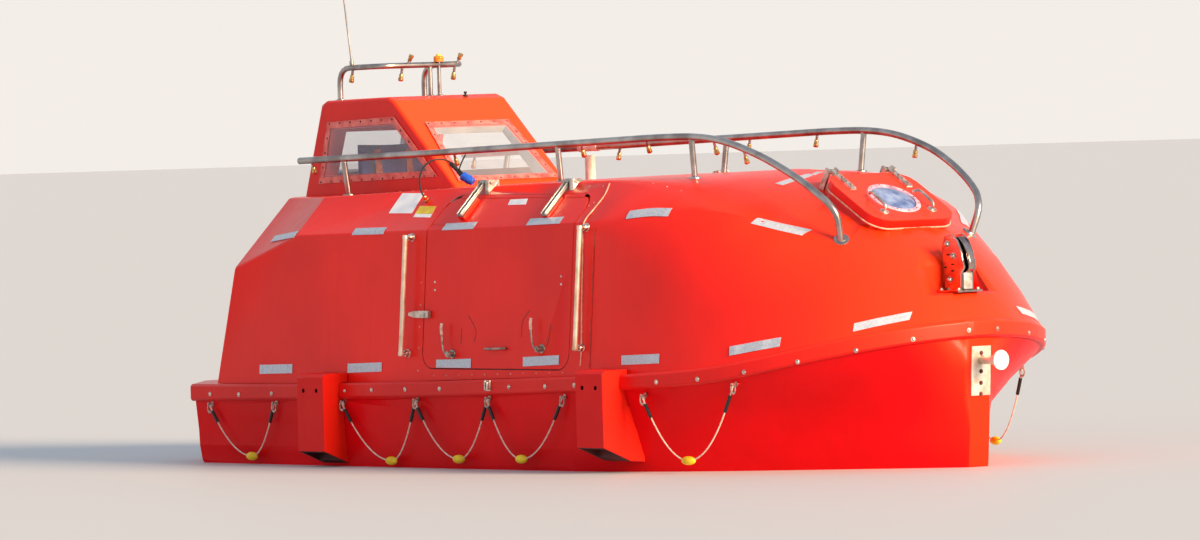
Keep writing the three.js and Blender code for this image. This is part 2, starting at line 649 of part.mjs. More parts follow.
// Forward hatch lid with its two hinge straps, and the porthole in it
function hatchLid() {
  const plate = onHatch(lidOutline(0), LID.low, LID.high)
    .subtract(disc(PORTHOLE.r, LID.low - 10, LID.high + 10));
  const straps = HATCH_PIN.ys.flatMap((y) => {
    const [from, to] = [-18, 18].map((d) => hatchPoint(HATCH_PIN.along, y + d, HATCH_PIN.up));
    const strap = onHatch([[HATCH_PIN.along, y - 18], [-90, y - 18], [-90, y + 18], [HATCH_PIN.along, y + 18]],
      LID.high - 2, LID.high + 12);
    return [strap, bar(from, to, 14)];
  });
  const bores = HATCH_PIN.ys.map((y) => {
    const [from, to] = [-50, 50].map((d) => hatchPoint(HATCH_PIN.along, y + d, HATCH_PIN.up));
    return bar(from, to, HATCH_PIN.r + 0.5);
  });
  const handles = [-165, 165].map((y) => tube([
    hatchPoint(150, y, LID.high - 10), hatchPoint(150, y, LID.high + 36), hatchPoint(10, y, LID.high + 40),
  ], 7, 14, 8, 2));
  return bores.reduce((a, b) => a.subtract(b), join(plate, ...straps, ...handles));
}

// A round disc on the hatch's plane
function disc(radius, low, high) {
  const points = Array.from({ length: 20 }, (_, k) => {
    const a = (k * Math.PI) / 10;
    return [PORTHOLE.along + radius * Math.cos(a), radius * Math.sin(a)];
  });
  return onHatch(points, low, high);
}
add('forward_hatch_lid', hatchLid(), RED);
add('forward_hatch_porthole', disc(PORTHOLE.r - 2 * GAP, LID.low + 8, LID.high + 2), 0x7f93b8, 0.1);

// Conning tower: a shell that stands on the roof over its well
function inward(points, by) {
  const count = points.length;
  return points.map(([x, z], i) => {
    const [px, pz] = points[(i + count - 1) % count];
    const [nx, nz] = points[(i + 1) % count];
    const a = new THREE.Vector2(x - px, z - pz).normalize();
    const b = new THREE.Vector2(nx - x, nz - z).normalize();
    const mid = new THREE.Vector2(a.y + b.y, -a.x - b.x).normalize();
    const reach = by / Math.sqrt(Math.max(0.2, (1 + a.dot(b)) / 2));
    return [x + mid.x * reach, z + mid.y * reach];
  });
}

// The front face's frame: across the boat, and up the slope from its foot
function onFront(points, low, high) {
  const [topX, topZ, footX, footZ] = [...TOWER.side[4], ...TOWER.side[5]];
  const slope = Math.atan2(topZ - footZ, footX - topX);
  const shape = new THREE.Shape(points.map(([y, up]) => new THREE.Vector2(y, up)));
  const geometry = new THREE.ExtrudeGeometry(shape, { depth: high - low, bevelEnabled: false });
  geometry.translate(0, 0, low);
  const [c, s] = [Math.cos(slope), Math.sin(slope)];
  const turn = new THREE.Matrix4().set(0, -c, s, footX, 1, 0, 0, 0, 0, s, c, footZ, 0, 0, 0, 1);
  return toSolid(geometry.applyMatrix4(turn));
}

// The aft face's frame, in the same way
function onBack(points, low, high) {
  const [footX, footZ, topX, topZ] = [...TOWER.side[0], ...TOWER.side[1]];
  const lean = Math.atan2(topX - footX, topZ - footZ);
  const shape = new THREE.Shape(points.map(([y, up]) => new THREE.Vector2(y, up)));
  const geometry = new THREE.ExtrudeGeometry(shape, { depth: high - low, bevelEnabled: false });
  geometry.translate(0, 0, low);
  const [c, s] = [Math.cos(lean), Math.sin(lean)];
  const turn = new THREE.Matrix4().set(0, s, -c, footX, -1, 0, 0, 0, 0, c, s, footZ, 0, 0, 0, 1);
  return toSolid(geometry.applyMatrix4(turn));
}

function towerShell() {
  const shape = new THREE.Shape(TOWER.side.map(([x, z]) => new THREE.Vector2(x, z)));
  const rounded = new THREE.ExtrudeGeometry(shape, {
    depth: 2 * (TOWER.half - TOWER.edge),
    bevelThickness: TOWER.edge, bevelSize: TOWER.edge, bevelOffset: -TOWER.edge, bevelSegments: 3,
  });
  const outer = placed(rounded, 0, TOWER.half - TOWER.edge, 0, Math.PI / 2);
  const hollow = TOWER.side.map(([x, z]) => [x, z === 1400 || z === 1440 ? z - 100 : z]);
  const inner = profile(inward(hollow, TOWER.wall), TOWER.wall - TOWER.half, TOWER.half - TOWER.wall);
  const sidePane = inward(TOWER.sidePane, TOWER.border);
  return outer.subtract(inner).subtract(canopyAround)
    .subtract(profile(sidePane, -TOWER.half - 10, TOWER.half + 10))
    .subtract(onFront(inward(TOWER.frontPane, -TOWER.border), -100, 20))
    .subtract(onBack(inward(TOWER.backPane, -TOWER.border), -100, 20));
}
add('conning_tower', towerShell(), RED);

add('tower_window_starboard',
  profile(TOWER.sidePane, -TOWER.half - GAP - PANE, -TOWER.half - GAP), PANE_TINT, 0.1);
add('tower_window_port', profile(TOWER.sidePane, TOWER.half + GAP, TOWER.half + GAP + PANE), PANE_TINT, 0.1);
add('tower_window_front', onFront(TOWER.frontPane, GAP, GAP + PANE), PANE_TINT, 0.1);
add('tower_window_aft', onBack(TOWER.backPane, GAP, GAP + PANE), PANE_TINT, 0.1);

// Fender blocks: they stand over the strake and the hull side, hollow and open below
const strakeAround = gunwale(GAP);
function fender(x0, x1, top, bottom, side) {
  const section = (points) => {
    const shape = new THREE.Shape(points.map(([y, z]) => new THREE.Vector2(side * y, z)));
    const geometry = new THREE.ExtrudeGeometry(shape, { depth: 1, bevelEnabled: false });
    return (from, to) => {
      const turn = new THREE.Matrix4().set(0, 0, to - from, from, 1, 0, 0, 0, 0, 1, 0, 0, 0, 0, 0, 1);
      return toSolid(geometry.clone().applyMatrix4(turn));
    };
  };
  const outer = section([
    [1105, top], [1250, top], [1275, top - 20], [1275, bottom], [1096, bottom - 76], [1000, bottom - 84],
    [1000, 330], [1105, 330]])(x0, x1);
  const hollow = section([[1145, 330], [1257, 330], [1257, -100], [1145, -100]])(x0 + 18, x1 - 18);
  const holes = [0.25, 0.74].map((f) => {
    const x = x0 + (x1 - x0) * f;
    return bar([x, side * 1240, top - 92], [x, side * 1290, top - 92], 13, 8);
  });
  return [hollow, hullAround, canopyAround, strakeAround, ...holes].reduce((a, b) => a.subtract(b), outer);
}
for (const [word, side] of [['starboard', -1], ['port', 1]]) {
  for (const [end, sizes] of Object.entries(FENDERS)) {
    add(`${word}_fender_block_${end}`, fender(...sizes, side), RED);
  }
}

// Handrails, which also carry the spray water
function railAt(x) {
  const i = Math.max(1, HANDRAIL.findIndex((p) => p[0] >= x));
  const [a, b] = [HANDRAIL[i - 1], HANDRAIL[i]];
  const t = (x - a[0]) / (b[0] - a[0]);
  return [x, a[1] + t * (b[1] - a[1]), a[2] + t * (b[2] - a[2])];
}

function sprayNozzle(x, y, z, side) {
  return join(
    bar([x, y, z], [x - 15, y - side * 23, z - 40], 8, 6),
    bar([x - 13, y - side * 20, z - 35], [x - 27, y - side * 42, z - 72], 12, 6));
}

function handrail(side) {
  const rail = sweep(HANDRAIL.map(([x, y, z]) => new THREE.Vector3(x, -side * y, z)), RAIL_R, ROUND);
  const posts = STANCHIONS.map(([x, lean]) => {
    const [, y, z] = railAt(x);
    return bar([x, -side * y, z], [x - 8, -side * (y + lean), 1380], POST_R, 10);
  });
  const [low, high] = [[2271, 440, 1174], [2284, 451, 1193]];
  const flange = bar([low[0], side * low[1], low[2]], [high[0], side * high[1], high[2]], 42, 14);
  const sprays = NOZZLES[side < 0 ? 'starboard' : 'port'].map((x) => {
    const [, y, z] = railAt(x);
    return sprayNozzle(x, -side * y, z, side);
  });
  const riser = side > 0
    ? [bar([-1068, 586, 1672], [-1068, 590, 1380], 30, 14), bar([-1150, 585, 1668], [-986, 586, 1673], 26, 14)]
    : [];
  return join(rail, flange, ...posts, ...sprays, ...riser).subtract(canopyAround);
}
add('starboard_handrail', handrail(-1), STEEL, 0.3, 0.9);
add('port_handrail', handrail(1), STEEL, 0.3, 0.9);

// Tower rail: a U of tube on the tower's top, with its leg, nozzles and the beacon's pole
function towerRail() {
  const [aft, fwd, half, high] = [-2174, -1800, 298, 2150];
  const frame = tube([
    [aft, -half, TOP_Z - 20], [aft, -half, high], [fwd, -half, high + 6],
    [fwd, half, high + 6], [aft, half, high], [aft, half, TOP_Z - 20],
  ], RAIL_R - 3, 95, 8, 3);
  const leg = bar([fwd, 50, TOP_Z - 20], [fwd, 50, high], POST_R - 3, 8);
  const pole = bar([fwd + 4, 110, TOP_Z - 20], [fwd + 4, 110, high + 22], POLE_R, 8);
  const up = [-110, 240].map((y) => bar([fwd, y, high], [fwd + 16, y + 14, high + 62], 10, 6));
  const down = [[aft + 123, -half], [fwd, -145], [fwd, 227]].map(([x, y]) => sprayNozzle(x, y, high, 0));
  const around = profile(TOWER.side.map(([x, z]) => [x, z + GAP]), -TOWER.half, TOWER.half);
  return join(frame, leg, pole, ...up, ...down).subtract(around);
}
add('tower_rail', towerRail(), STEEL, 0.3, 0.9);
add('beacon', join(
  bar([-1796, 110, 2172 + GAP], [-1796, 110, 2205], 29, 14), bar([-1796, 110, 2200], [-1796, 110, 2216], 14, 14)),
0xf0a01c, 0.25);
add('antenna', join(
  bar([-2062, -298, 2168 + GAP], [-2062, -298, 2196], 13, 10),
  bar([-2062, -298, 2186], [-2200, -298, 3070], 7, 8)), 0xe8e6e0, 0.4);

// Grab rails beside the doors, each on two pegs
for (const [word, side] of [['starboard', -1], ['port', 1]]) {
  for (const [end, [x, z0, z1]] of Object.entries(GRABS)) {
    const ends = [z0, z1].map((z) => [x, side * (panelY(z) + 50), z]);
    const pegs = [z0 + 8, z1 - 8].map((z) => bar(
      [x, side * (panelY(z) + 50), z], [x, side * (panelY(z) - 20), z], 14, 8));
    const rail = join(bar(ends[0], ends[1], POST_R - 3, 8), ...pegs).subtract(canopyAround);
    add(`${word}_grab_rail_${end}`, rail, 0xe6d8c4, 0.35, 0.6);
  }
}

// Stem plate with the towing pin
function stemPlate() {
  const face = (z) => 2803 + 0.0625 * z;
  const { low, high, pin, reach } = STEM_PLATE;
  const plate = profile(
    [[face(low) - 8, low], [face(low) + 11, low], [face(high) + 11, high], [face(high) - 8, high]],
    2 - KEEL_HALF, KEEL_HALF - 2).subtract(hullAround);
  const x = face(pin);
  return join(plate, bar([x + 6, 0, pin], [x + reach, 0, pin], 23.5, 14),
    bar([x + reach - 2, 0, pin], [x + reach + 8, 0, pin], 52, 20));
}
add('stem_plate_with_towing_pin', stemPlate(), 0xd2cec6, 0.3, 0.85);

// Release hooks: two cheeks on a foot, the hook between them, and the cross bolts
function releaseHook(x, z, facing) {
  const at = (points) => points.map(([px, pz]) => [x + facing * px, z + pz]);
  const foot = block(x - 84, x + 84, -84, 84, z, z + 12);
  const cheeks = [-44, 32].map((y) => profile(at(HOOK_SIDE), y, y + 12));
  const bolts = HOOK_BOLTS.map(([px, pz]) => bar(
    [x + facing * px, -56, z + pz], [x + facing * px, 56, z + pz], 11, 6));
  return join(foot, profile(at(HOOK_JAW), -20, 20), ...cheeks, ...bolts);
}
add('forward_hook', releaseHook(FORWARD_HOOK_X, BOW_NICHE.z + GAP, 1), 0xc9c2ba, 0.25, 0.9);
add('aft_hook', releaseHook(AFT_HOOK_X, STERN_NICHE.z + GAP, -1), 0xc9c2ba, 0.25, 0.9);

// Grab lines, one node for each run of scallops, with the floats on them
function hullSideY(x) {
  const i = Math.max(1, hullRim.findIndex((r) => r[0] >= x));
  const [a, b] = [hullRim[i - 1], hullRim[i]];
  return a[1] + ((b[1] - a[1]) * (x - a[0])) / (b[0] - a[0]);
}

function lineRoute(eyes, side, steps) {
  const points = [];
  for (let i = 1; i < eyes.length; i += 1) {
    const [[x0, z0], [x1, z1, lowest, low]] = [eyes[i - 1], eyes[i]];
    for (let k = i === 1 ? 0 : 1; k <= steps; k += 1) {
      // From -1 at one eye over 0 at the low point to 1 at the other eye
      const u = (2 * k) / steps - 1;
      const t = u < 0 ? lowest * (1 + u) : lowest + (1 - lowest) * u;
      const [x, high] = [x0 + t * (x1 - x0), z0 + t * (z1 - z0)];
      const y0 = hullSideY(x0) + 22;
      const y1 = hullSideY(x1) + 22;
      points.push(new THREE.Vector3(x, side * (y0 + t * (y1 - y0)), low + (high - low) * u * u));
    }
  }
  // The ends hang over their eyes like the line's other turns
  const tail = (end, next) => {
    const away = end.clone().sub(next).setLength(LINE_TAIL);
    return end.clone().add(new THREE.Vector3(away.x, 0, -away.z));
  };
  const last = points.length - 1;
  points.unshift(tail(points[0], points[1]));
  points.push(tail(points[last + 1], points[last]));
  return points;
}

function grabLine(eyes, side) {
  const steps = 8;
  const route = lineRoute(eyes, side, steps);
  const floats = eyes.slice(1).map((_, i) => {
    const middle = 1 + i * steps + steps / 2;
    const p = route[middle];
    const q = route[middle + 1].clone().sub(route[middle - 1]).normalize();
    const [from, to] = [-1, 1].map((f) => p.clone().addScaledVector(q, f * FLOAT.half).toArray());
    return bar(from, to, FLOAT.r, 8);
  });
  return join(sweep(route, LINE_R, 8), ...floats);
}
for (const [word, side] of [['starboard', -1], ['port', 1]]) {
  for (const [run, eyes] of Object.entries(LINES)) {
    add(`${word}_grab_line_${run}`, grabLine(eyes, side), 0xe8d8cc, 0.7);
  }
}

// Charging lead, and the connector with its cap that hangs under the rail
add('charging_lead', sweep(LEAD.map((p) => new THREE.Vector3(...p)), LEAD_R, 10), 0x141416, 0.5);
const tie = railAt(-690);
add('charging_plug', join(
  bar(LEAD_PLUG[0], LEAD_PLUG[1], 13, 10), bar(LEAD_PLUG[1], LEAD_PLUG[2], 26, 12),
  bar([tie[0], tie[1], tie[2] - RAIL_R - 1], [-690, -634, 1568], 4, 6)), 0x1748a8, 0.4);

// Stern gear
function nozzleRing() {
  const { inner, outer, aft, fore } = NOZZLE;
  const points = [
    [inner, aft], [outer - 6, aft], [outer, 20], [outer - 8, fore], [inner + 8, fore], [inner, 20], [inner, aft]];
  const ring = new THREE.LatheGeometry(points.map(([r, x]) => new THREE.Vector2(r, x)), 28);
  const solid = placed(ring, PROP_X, 0, SHAFT_Z, 0, 0, -Math.PI / 2);
  const stock = bar([PROP_X, 0, SHAFT_Z + inner + 6], [PROP_X, 0, -66], STOCK_R, 16);
  const pintle = bar([PROP_X, 0, SHAFT_Z - inner - 6], [PROP_X, 0, -800], STOCK_R, 16);
  const fin = block(PROP_X - 140, PROP_X - 68, -9, 9, SHAFT_Z - inner - 6, SHAFT_Z + inner + 6);
  return join(solid, stock, pintle, fin);
}
add('steering_nozzle', nozzleRing(), DEEP_RED);

function propeller() {
  const hub = bar([PROP_X - 42, 0, SHAFT_Z], [PROP_X + 42, 0, SHAFT_Z], 32, 16);
  const shaft = bar([PROP_X, 0, SHAFT_Z], [-1880, 0, SHAFT_Z], SHAFT_R, 16);
  const blades = [0, 1, 2].map((k) => {
    const shape = new THREE.Shape();
    shape.moveTo(-24, 20);
    shape.bezierCurveTo(-80, 70, -70, PROP_R, 10, PROP_R);
    shape.bezierCurveTo(70, PROP_R - 4, 70, 70, 24, 20);
    const geometry = new THREE.ExtrudeGeometry(shape, { depth: 8, bevelEnabled: false, curveSegments: 5 });
    geometry.translate(0, 0, -4);
    geometry.rotateY(Math.PI / 2 - 0.5);
    geometry.rotateX(Math.PI / 2 + (k * 2 * Math.PI) / 3);
    return placed(geometry, PROP_X, 0, SHAFT_Z);
  });
  return join(hub, shaft, ...blades);
}
add('propeller', propeller(), 0xb08a3c, 0.3, 0.9);

// Inside: the inner moulding with sole and benches, the engine, the helm
function innerMoulding() {
  const room = skin(hullRibs, WALL + GAP, 200);
  const engineHatch = block(-1640, -860, -250, 250, -500, 400);
  const boxes = join(
    block(-2700, 2300, -1200, 1200, SOLE_Z - 26, SOLE_Z),
    block(-2000, 2500, 640, 1200, SOLE_Z - 26, 320),
    block(-2000, 2500, -1200, -640, SOLE_Z - 26, 320));
  const gunwaleClear = gunwale(GAP);
  return boxes.intersect(room).subtract(engineHatch).subtract(gunwaleClear);
}
add('inner_moulding', innerMoulding(), 0xd8d4c8, 0.5);
add('engine_block', block(
  ENGINE.x0, ENGINE.x1, -ENGINE.half, ENGINE.half, ENGINE.low + GAP, ENGINE.top), 0x6a7a72, 0.6);

add('helm_seat', join(
  block(SEAT.x - 110, SEAT.x + 150, -150, 150, SOLE_Z + GAP, SEAT.top - 90),
  block(SEAT.x - 150, SEAT.x + 220, -230, 230, SEAT.top - 90, SEAT.top),
  block(SEAT.x - 150, SEAT.x - 80, -220, 220, SEAT.top - 10, SEAT.back)), 0x2c3f7a, 0.7);

function helmConsole() {
  const { x0, x1, half, top, wall } = CASING;
  const casing = block(x0, x1, -half, half, SOLE_Z + GAP, top)
    .subtract(block(x0 + wall, x1 - wall, wall - half, half - wall, SOLE_Z - 10, top - wall));
  const stand = profile([[-1400, top - 5], [-1180, top - 5], [-1180, 1330], [-1260, 1370], [-1400, 1290]], -240, 240);
  return join(casing, stand, bar([-1390, 0, WHEEL.z], [WHEEL.x + 21.5, 0, WHEEL.z], 26, 12));
}
add('helm_console', helmConsole(), 0xb9b6b0, 0.6);

function helmWheel() {
  const rim = new THREE.LatheGeometry(Array.from({ length: 7 }, (_, k) => {
    const a = (k * Math.PI) / 3;
    return new THREE.Vector2(WHEEL.r + WHEEL.rim * Math.cos(a), WHEEL.rim * Math.sin(a));
  }), 20);
  const spokes = [0, 1, 2].map((k) => {
    const a = Math.PI / 2 + (k * 2 * Math.PI) / 3;
    return bar([WHEEL.x, 0, WHEEL.z],
      [WHEEL.x, (WHEEL.r - 2) * Math.cos(a), WHEEL.z + (WHEEL.r - 2) * Math.sin(a)], 9, 6);
  });
  const hub = bar([WHEEL.x - 20, 0, WHEEL.z], [WHEEL.x + 21, 0, WHEEL.z], 30, 12);
  return join(placed(rim, WHEEL.x, 0, WHEEL.z, 0, 0, Math.PI / 2), hub, ...spokes);
}
add('helm_wheel', helmWheel(), 0x222326, 0.6);

export default boat;
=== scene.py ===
# Totally enclosed lifeboat, afloat, seen from its starboard bow.
# Metres. +X to the bow, +Y to port, +Z up, z = 0 at the waterline.
import math

import bmesh
import bpy
from mathutils import Matrix, Vector
from mathutils.bvhtree import BVHTree


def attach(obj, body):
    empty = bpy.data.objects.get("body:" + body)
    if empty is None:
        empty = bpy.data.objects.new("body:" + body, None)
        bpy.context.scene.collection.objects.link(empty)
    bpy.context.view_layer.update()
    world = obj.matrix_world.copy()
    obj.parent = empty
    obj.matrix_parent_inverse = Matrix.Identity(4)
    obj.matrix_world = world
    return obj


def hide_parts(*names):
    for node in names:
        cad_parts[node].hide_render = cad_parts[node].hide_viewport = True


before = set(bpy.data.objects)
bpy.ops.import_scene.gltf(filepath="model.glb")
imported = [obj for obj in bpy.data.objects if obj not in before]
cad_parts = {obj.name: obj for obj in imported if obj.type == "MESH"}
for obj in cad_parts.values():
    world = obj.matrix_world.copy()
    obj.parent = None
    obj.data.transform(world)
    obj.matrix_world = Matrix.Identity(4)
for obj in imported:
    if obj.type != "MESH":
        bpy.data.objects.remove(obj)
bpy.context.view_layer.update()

# Camera
# A long lens on a boat alongside: 49 m off the starboard bow and 0.97 m above the water. The
# boat leans 2.2 degrees to starboard there, and the camera takes that lean instead.
LENS_DISTANCE = 49
LENS_HEIGHT = 0.97
LENS_AIM = (1.09, -1.15)
LOOK = Vector((-0.777, 0.629, 0)).normalized()
LEAN = math.radians(2.2)
HORIZON_ROW = 285
PIXELS_PER_RADIAN = 9300
PHOTO_WIDTH, PHOTO_HEIGHT = 1200, 540

camera_data = bpy.data.cameras.new("long_lens")
camera_data.sensor_width = 36
camera_data.lens = 36 * PIXELS_PER_RADIAN / PHOTO_WIDTH
camera_data.clip_end = 400
camera = bpy.data.objects.new("camera", camera_data)
bpy.context.scene.collection.objects.link(camera)
tilt = math.atan((HORIZON_ROW - PHOTO_HEIGHT / 2) / PIXELS_PER_RADIAN)
level = LOOK.to_track_quat("-Z", "Y").to_matrix().to_4x4() @ Matrix.Rotation(tilt, 4, "X")
stand = Vector((*LENS_AIM, LENS_HEIGHT)) - LENS_DISTANCE * LOOK
hinge = Matrix.Translation((0, LENS_AIM[1], 0))
lean = hinge @ Matrix.Rotation(-LEAN, 4, "X") @ hinge.inverted()
camera.matrix_world = lean @ Matrix.Translation(stand) @ level
bpy.context.scene.camera = camera

# Light and floor
# The low sun ahead of the boat lights its bow, and a pale sky fills the sides. The floor
# stands for the calm water that it floats in.
def colour(text):
    """An sRGB hex value as linear red, green, blue and alpha."""
    parts = [int(text[i:i + 2], 16) / 255 for i in (1, 3, 5)]
    return (*[c / 12.92 if c <= 0.04045 else ((c + 0.055) / 1.055) ** 2.4 for c in parts], 1)


def add_node(tree, kind, links=(), **settings):
    """A node with its settings, and links as (its input, another node's output)."""
    made = tree.nodes.new(kind)
    for key, value in settings.items():
        if key in made.inputs:
            made.inputs[key].default_value = value
        else:
            setattr(made, key, value)
    for socket, output in links:
        tree.links.new(output, made.inputs[socket])
    return made


# A pale sky: warm haze at the horizon, cooler overhead
world = bpy.data.worlds.new("pale_sky")
bpy.context.scene.world = world
world.use_nodes = True
sky = world.node_tree
sky.nodes.clear()
ray = add_node(sky, "ShaderNodeTexCoord")
height = add_node(sky, "ShaderNodeSeparateXYZ", [("Vector", ray.outputs["Generated"])])
haze = add_node(sky, "ShaderNodeValToRGB", [("Fac", height.outputs["Z"])])
haze.color_ramp.elements[0].position = 0.0
haze.color_ramp.elements[0].color = colour("#ece6e0")
haze.color_ramp.elements[1].position = 0.7
haze.color_ramp.elements[1].color = colour("#b4bfcc")
glow = add_node(sky, "ShaderNodeBackground", [("Color", haze.outputs["Color"])], Strength=1.08)
add_node(sky, "ShaderNodeOutputWorld", [("Surface", glow.outputs["Background"])])
bpy.context.scene.view_settings.view_transform = "Standard"

SUN_FROM = Vector((0.92, 0.16, 0.34))
sun_data = bpy.data.lights.new("low_sun", "SUN")
sun_data.energy = 7.4
sun_data.angle = math.radians(22)
sun_data.color = colour("#ffdcb4")[:3]
sun = bpy.data.objects.new("low_sun", sun_data)
sun.rotation_euler = SUN_FROM.to_track_quat("Z", "Y").to_euler()
bpy.context.scene.collection.objects.link(sun)

FLOOR_Z = -0.02
bpy.ops.object.select_all(action="DESELECT")
bpy.ops.mesh.primitive_circle_add(vertices=96, radius=160, fill_type="NGON", location=(0, 0, FLOOR_Z))
floor = bpy.context.object
floor.name = "studio_floor"
# Painted floor: pale, matt and plain
floor_paint = bpy.data.materials.new("pale_studio_floor")
floor_paint.use_nodes = True
matt = floor_paint.node_tree.nodes["Principled BSDF"]
matt.inputs["Base Color"].default_value = colour("#c2c6ca")
matt.inputs["Roughness"].default_value = 0.6
floor.data.materials.append(floor_paint)

# Grab lines
# White braided 8 mm line in bights between the eyes under the strake, each end in a shackle
# and a black shrunk sleeve. A yellow foam float has drifted to the low point of each bight:
# LOWEST has how far along the bight that lies, and its height.
EYES = {
    "aft": [(-2.325, 0.303), (-1.734, 0.313)],
    "mid": [(-1.117, 0.328), (-0.468, 0.344), (0.160, 0.358), (0.801, 0.370)],
    "fwd": [(1.435, 0.383), (2.030, 0.440)],
}
LOWEST = {
    "aft": [(0.64, 0.026)],
    "mid": [(0.66, 0.019), (0.59, 0.036), (0.44, 0.044)],
    "fwd": [(0.49, 0.050)],
}
LINE_R = 0.004
LINE_OUT = 0.022
SLEEVE_R = 0.0095
FLOAT_R = 0.026
BIGHT_STEPS = 32
SIDES = {"starboard": -1, "port": 1}
STRAKE_EDGE = [(-2.875, 0.8), (-2.49, 1.17), (0.8, 1.17), (1.286, 1.16), (1.793, 1.085), (2.077, 1.0),
               (2.33, 0.88)]
HULL_LIP = 0.030


def pick(*pieces):
    """Only these pieces are selected, and the first is active."""
    if bpy.context.object and bpy.context.object.mode != "OBJECT":
        bpy.ops.object.mode_set(mode="OBJECT")
    bpy.ops.object.select_all(action="DESELECT")
    for piece in pieces:
        piece.select_set(True)
    bpy.context.view_layer.objects.active = pieces[0]


def plain_material(name, base, roughness, metallic=0.0, **settings):
    """A material with its constants, and with it the tree, the shader and the object coordinates."""
    made = bpy.data.materials.new(name)
    made.use_nodes = True
    tree = made.node_tree
    shader = tree.nodes["Principled BSDF"]
    shader.inputs["Base Color"].default_value = colour(base)
    shader.inputs["Roughness"].default_value = roughness
    shader.inputs["Metallic"].default_value = metallic
    for key, value in settings.items():
        shader.inputs[key.replace("_", " ")].default_value = value
    return made, tree, shader, add_node(tree, "ShaderNodeTexCoord")


def mottled(tree, shader, place, light, dark, scale, spread=(0.35, 0.65)):
    """Lets the base colour wander between two values, in patches of about 1/scale metres."""
    cloud = add_node(tree, "ShaderNodeTexNoise", [("Vector", place.outputs["Object"])], Scale=scale,
                     Detail=5.0)
    tint = add_node(tree, "ShaderNodeValToRGB", [("Fac", cloud.outputs["Fac"])])
    tint.color_ramp.elements[0].position, tint.color_ramp.elements[1].position = spread
    tint.color_ramp.elements[0].color = colour(dark)
    tint.color_ramp.elements[1].color = colour(light)
    tree.links.new(tint.outputs["Color"], shader.inputs["Base Color"])
    return cloud, tint


def relief(tree, shader, height, depth, strength=1.0):
    """Bump of that depth in metres from a height between 0 and 1."""
    bump = add_node(tree, "ShaderNodeBump", [("Height", height)], Distance=depth, Strength=strength)
    tree.links.new(bump.outputs["Normal"], shader.inputs["Normal"])


def patchy(name, base, roughness, metallic, shades, depth=0.0, strength=1.0, **settings):
    """A material in patches, as (light, dark, patches to the metre), and with their relief if any."""
    made, tree, shader, place = plain_material(name, base, roughness, metallic, **settings)
    cloud, _ = mottled(tree, shader, place, *shades)
    if depth:
        relief(tree, shader, cloud.outputs["Fac"], depth, strength)
    return made


def finish_piece(piece, name, body, material=None, smooth=None):
    """Names a finished piece, gives it its material, and lets it ride on its body."""
    piece.name = name
    if material:
        piece.data.materials.clear()
        piece.data.materials.append(material)
    if smooth is not None:
        pick(piece)
        bpy.ops.object.shade_smooth_by_angle(angle=math.radians(smooth))
    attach(piece, body)
    return piece


# Polyester braid, 8 plaits round: a fine diagonal weave, a little grey from handling.
braid, tree, shader, place = plain_material("braided_polyester_line", "#e8dccf", 0.75)
mottled(tree, shader, place, "#eed8ca", "#cfae9f", 60)
weave = add_node(tree, "ShaderNodeTexWave", [("Vector", place.outputs["Object"])], Scale=90.0,
                 wave_type="BANDS")
weave.bands_direction = "DIAGONAL"
relief(tree, shader, weave.outputs["Fac"], 0.001)

# Closed-cell foam with a yellow vinyl skin, scuffed.
float_skin = patchy("yellow_foam_float", "#f2d21a", 0.5, 0.0, ("#f6d820", "#dcb410", 25), 0.001)

# Heat-shrunk polyolefin sleeve: satin black.
sleeve_black = patchy("shrunk_black_sleeve", "#151416", 0.45, 0.0, ("#1d1c1f", "#0d0c0e", 120), 0.0006)

# Galvanised shackle: dull zinc that has picked up red from the hull.
zinc = patchy("galvanised_shackle", "#b79d96", 0.42, 0.8, ("#cdb4ab", "#8a6f69", 70), 0.0005)


def hull_side(x):
    """The hull's half width just under the strake."""
    i = next(k for k in range(1, len(STRAKE_EDGE)) if STRAKE_EDGE[k][0] >= x)
    (x0, y0), (x1, y1) = STRAKE_EDGE[i - 1:i + 1]
    slope = math.atan2(y0 - y1, x1 - x0)
    return y0 + (y1 - y0) * (x - x0) / (x1 - x0) - HULL_LIP / math.cos(slope)


def curve_through(name, points, radius, sides=5):
    """A round tube on one open spline through the points."""
    data = bpy.data.curves.new(name, "CURVE")
    data.dimensions = "3D"
    data.bevel_depth = radius
    data.bevel_resolution = sides
    data.use_fill_caps = True
    spline = data.splines.new("POLY")
    spline.points.add(len(points) - 1)
    for knot, p in zip(spline.points, points):
        knot.co = (*p, 1)
    made = bpy.data.objects.new(name, data)
    bpy.context.scene.collection.objects.link(made)
    return made


def tube(name, points, radius, sides=5):
    """The same as a mesh."""
    pick(curve_through(name, points, radius, sides))
    bpy.ops.object.convert(target="MESH")
    return bpy.context.object


def along(piece, start, end):
    """Turns a piece that was made on Z at the origin to lie from start towards end, and applies it."""
    ahead = Vector(end) - Vector(start)
    piece.data.transform(Matrix.Translation(start) @ ahead.to_track_quat("Z", "Y").to_matrix().to_4x4())
    return piece


def bight(side, eye_a, eye_b, lowest, low):
    """The points of one hanging bight, from eye to eye."""
    (xa, za), (xb, zb) = eye_a, eye_b
    ya, yb = hull_side(xa) + LINE_OUT, hull_side(xb) + LINE_OUT
    points = []
    for k in range(BIGHT_STEPS + 1):
        u = 2 * k / BIGHT_STEPS - 1
        t = lowest * (1 + u) if u < 0 else lowest + (1 - lowest) * u
        high = za + t * (zb - za)
        points.append((xa + t * (xb - xa), side * (ya + t * (yb - ya)), low + (high - low) * u * u))
    return points


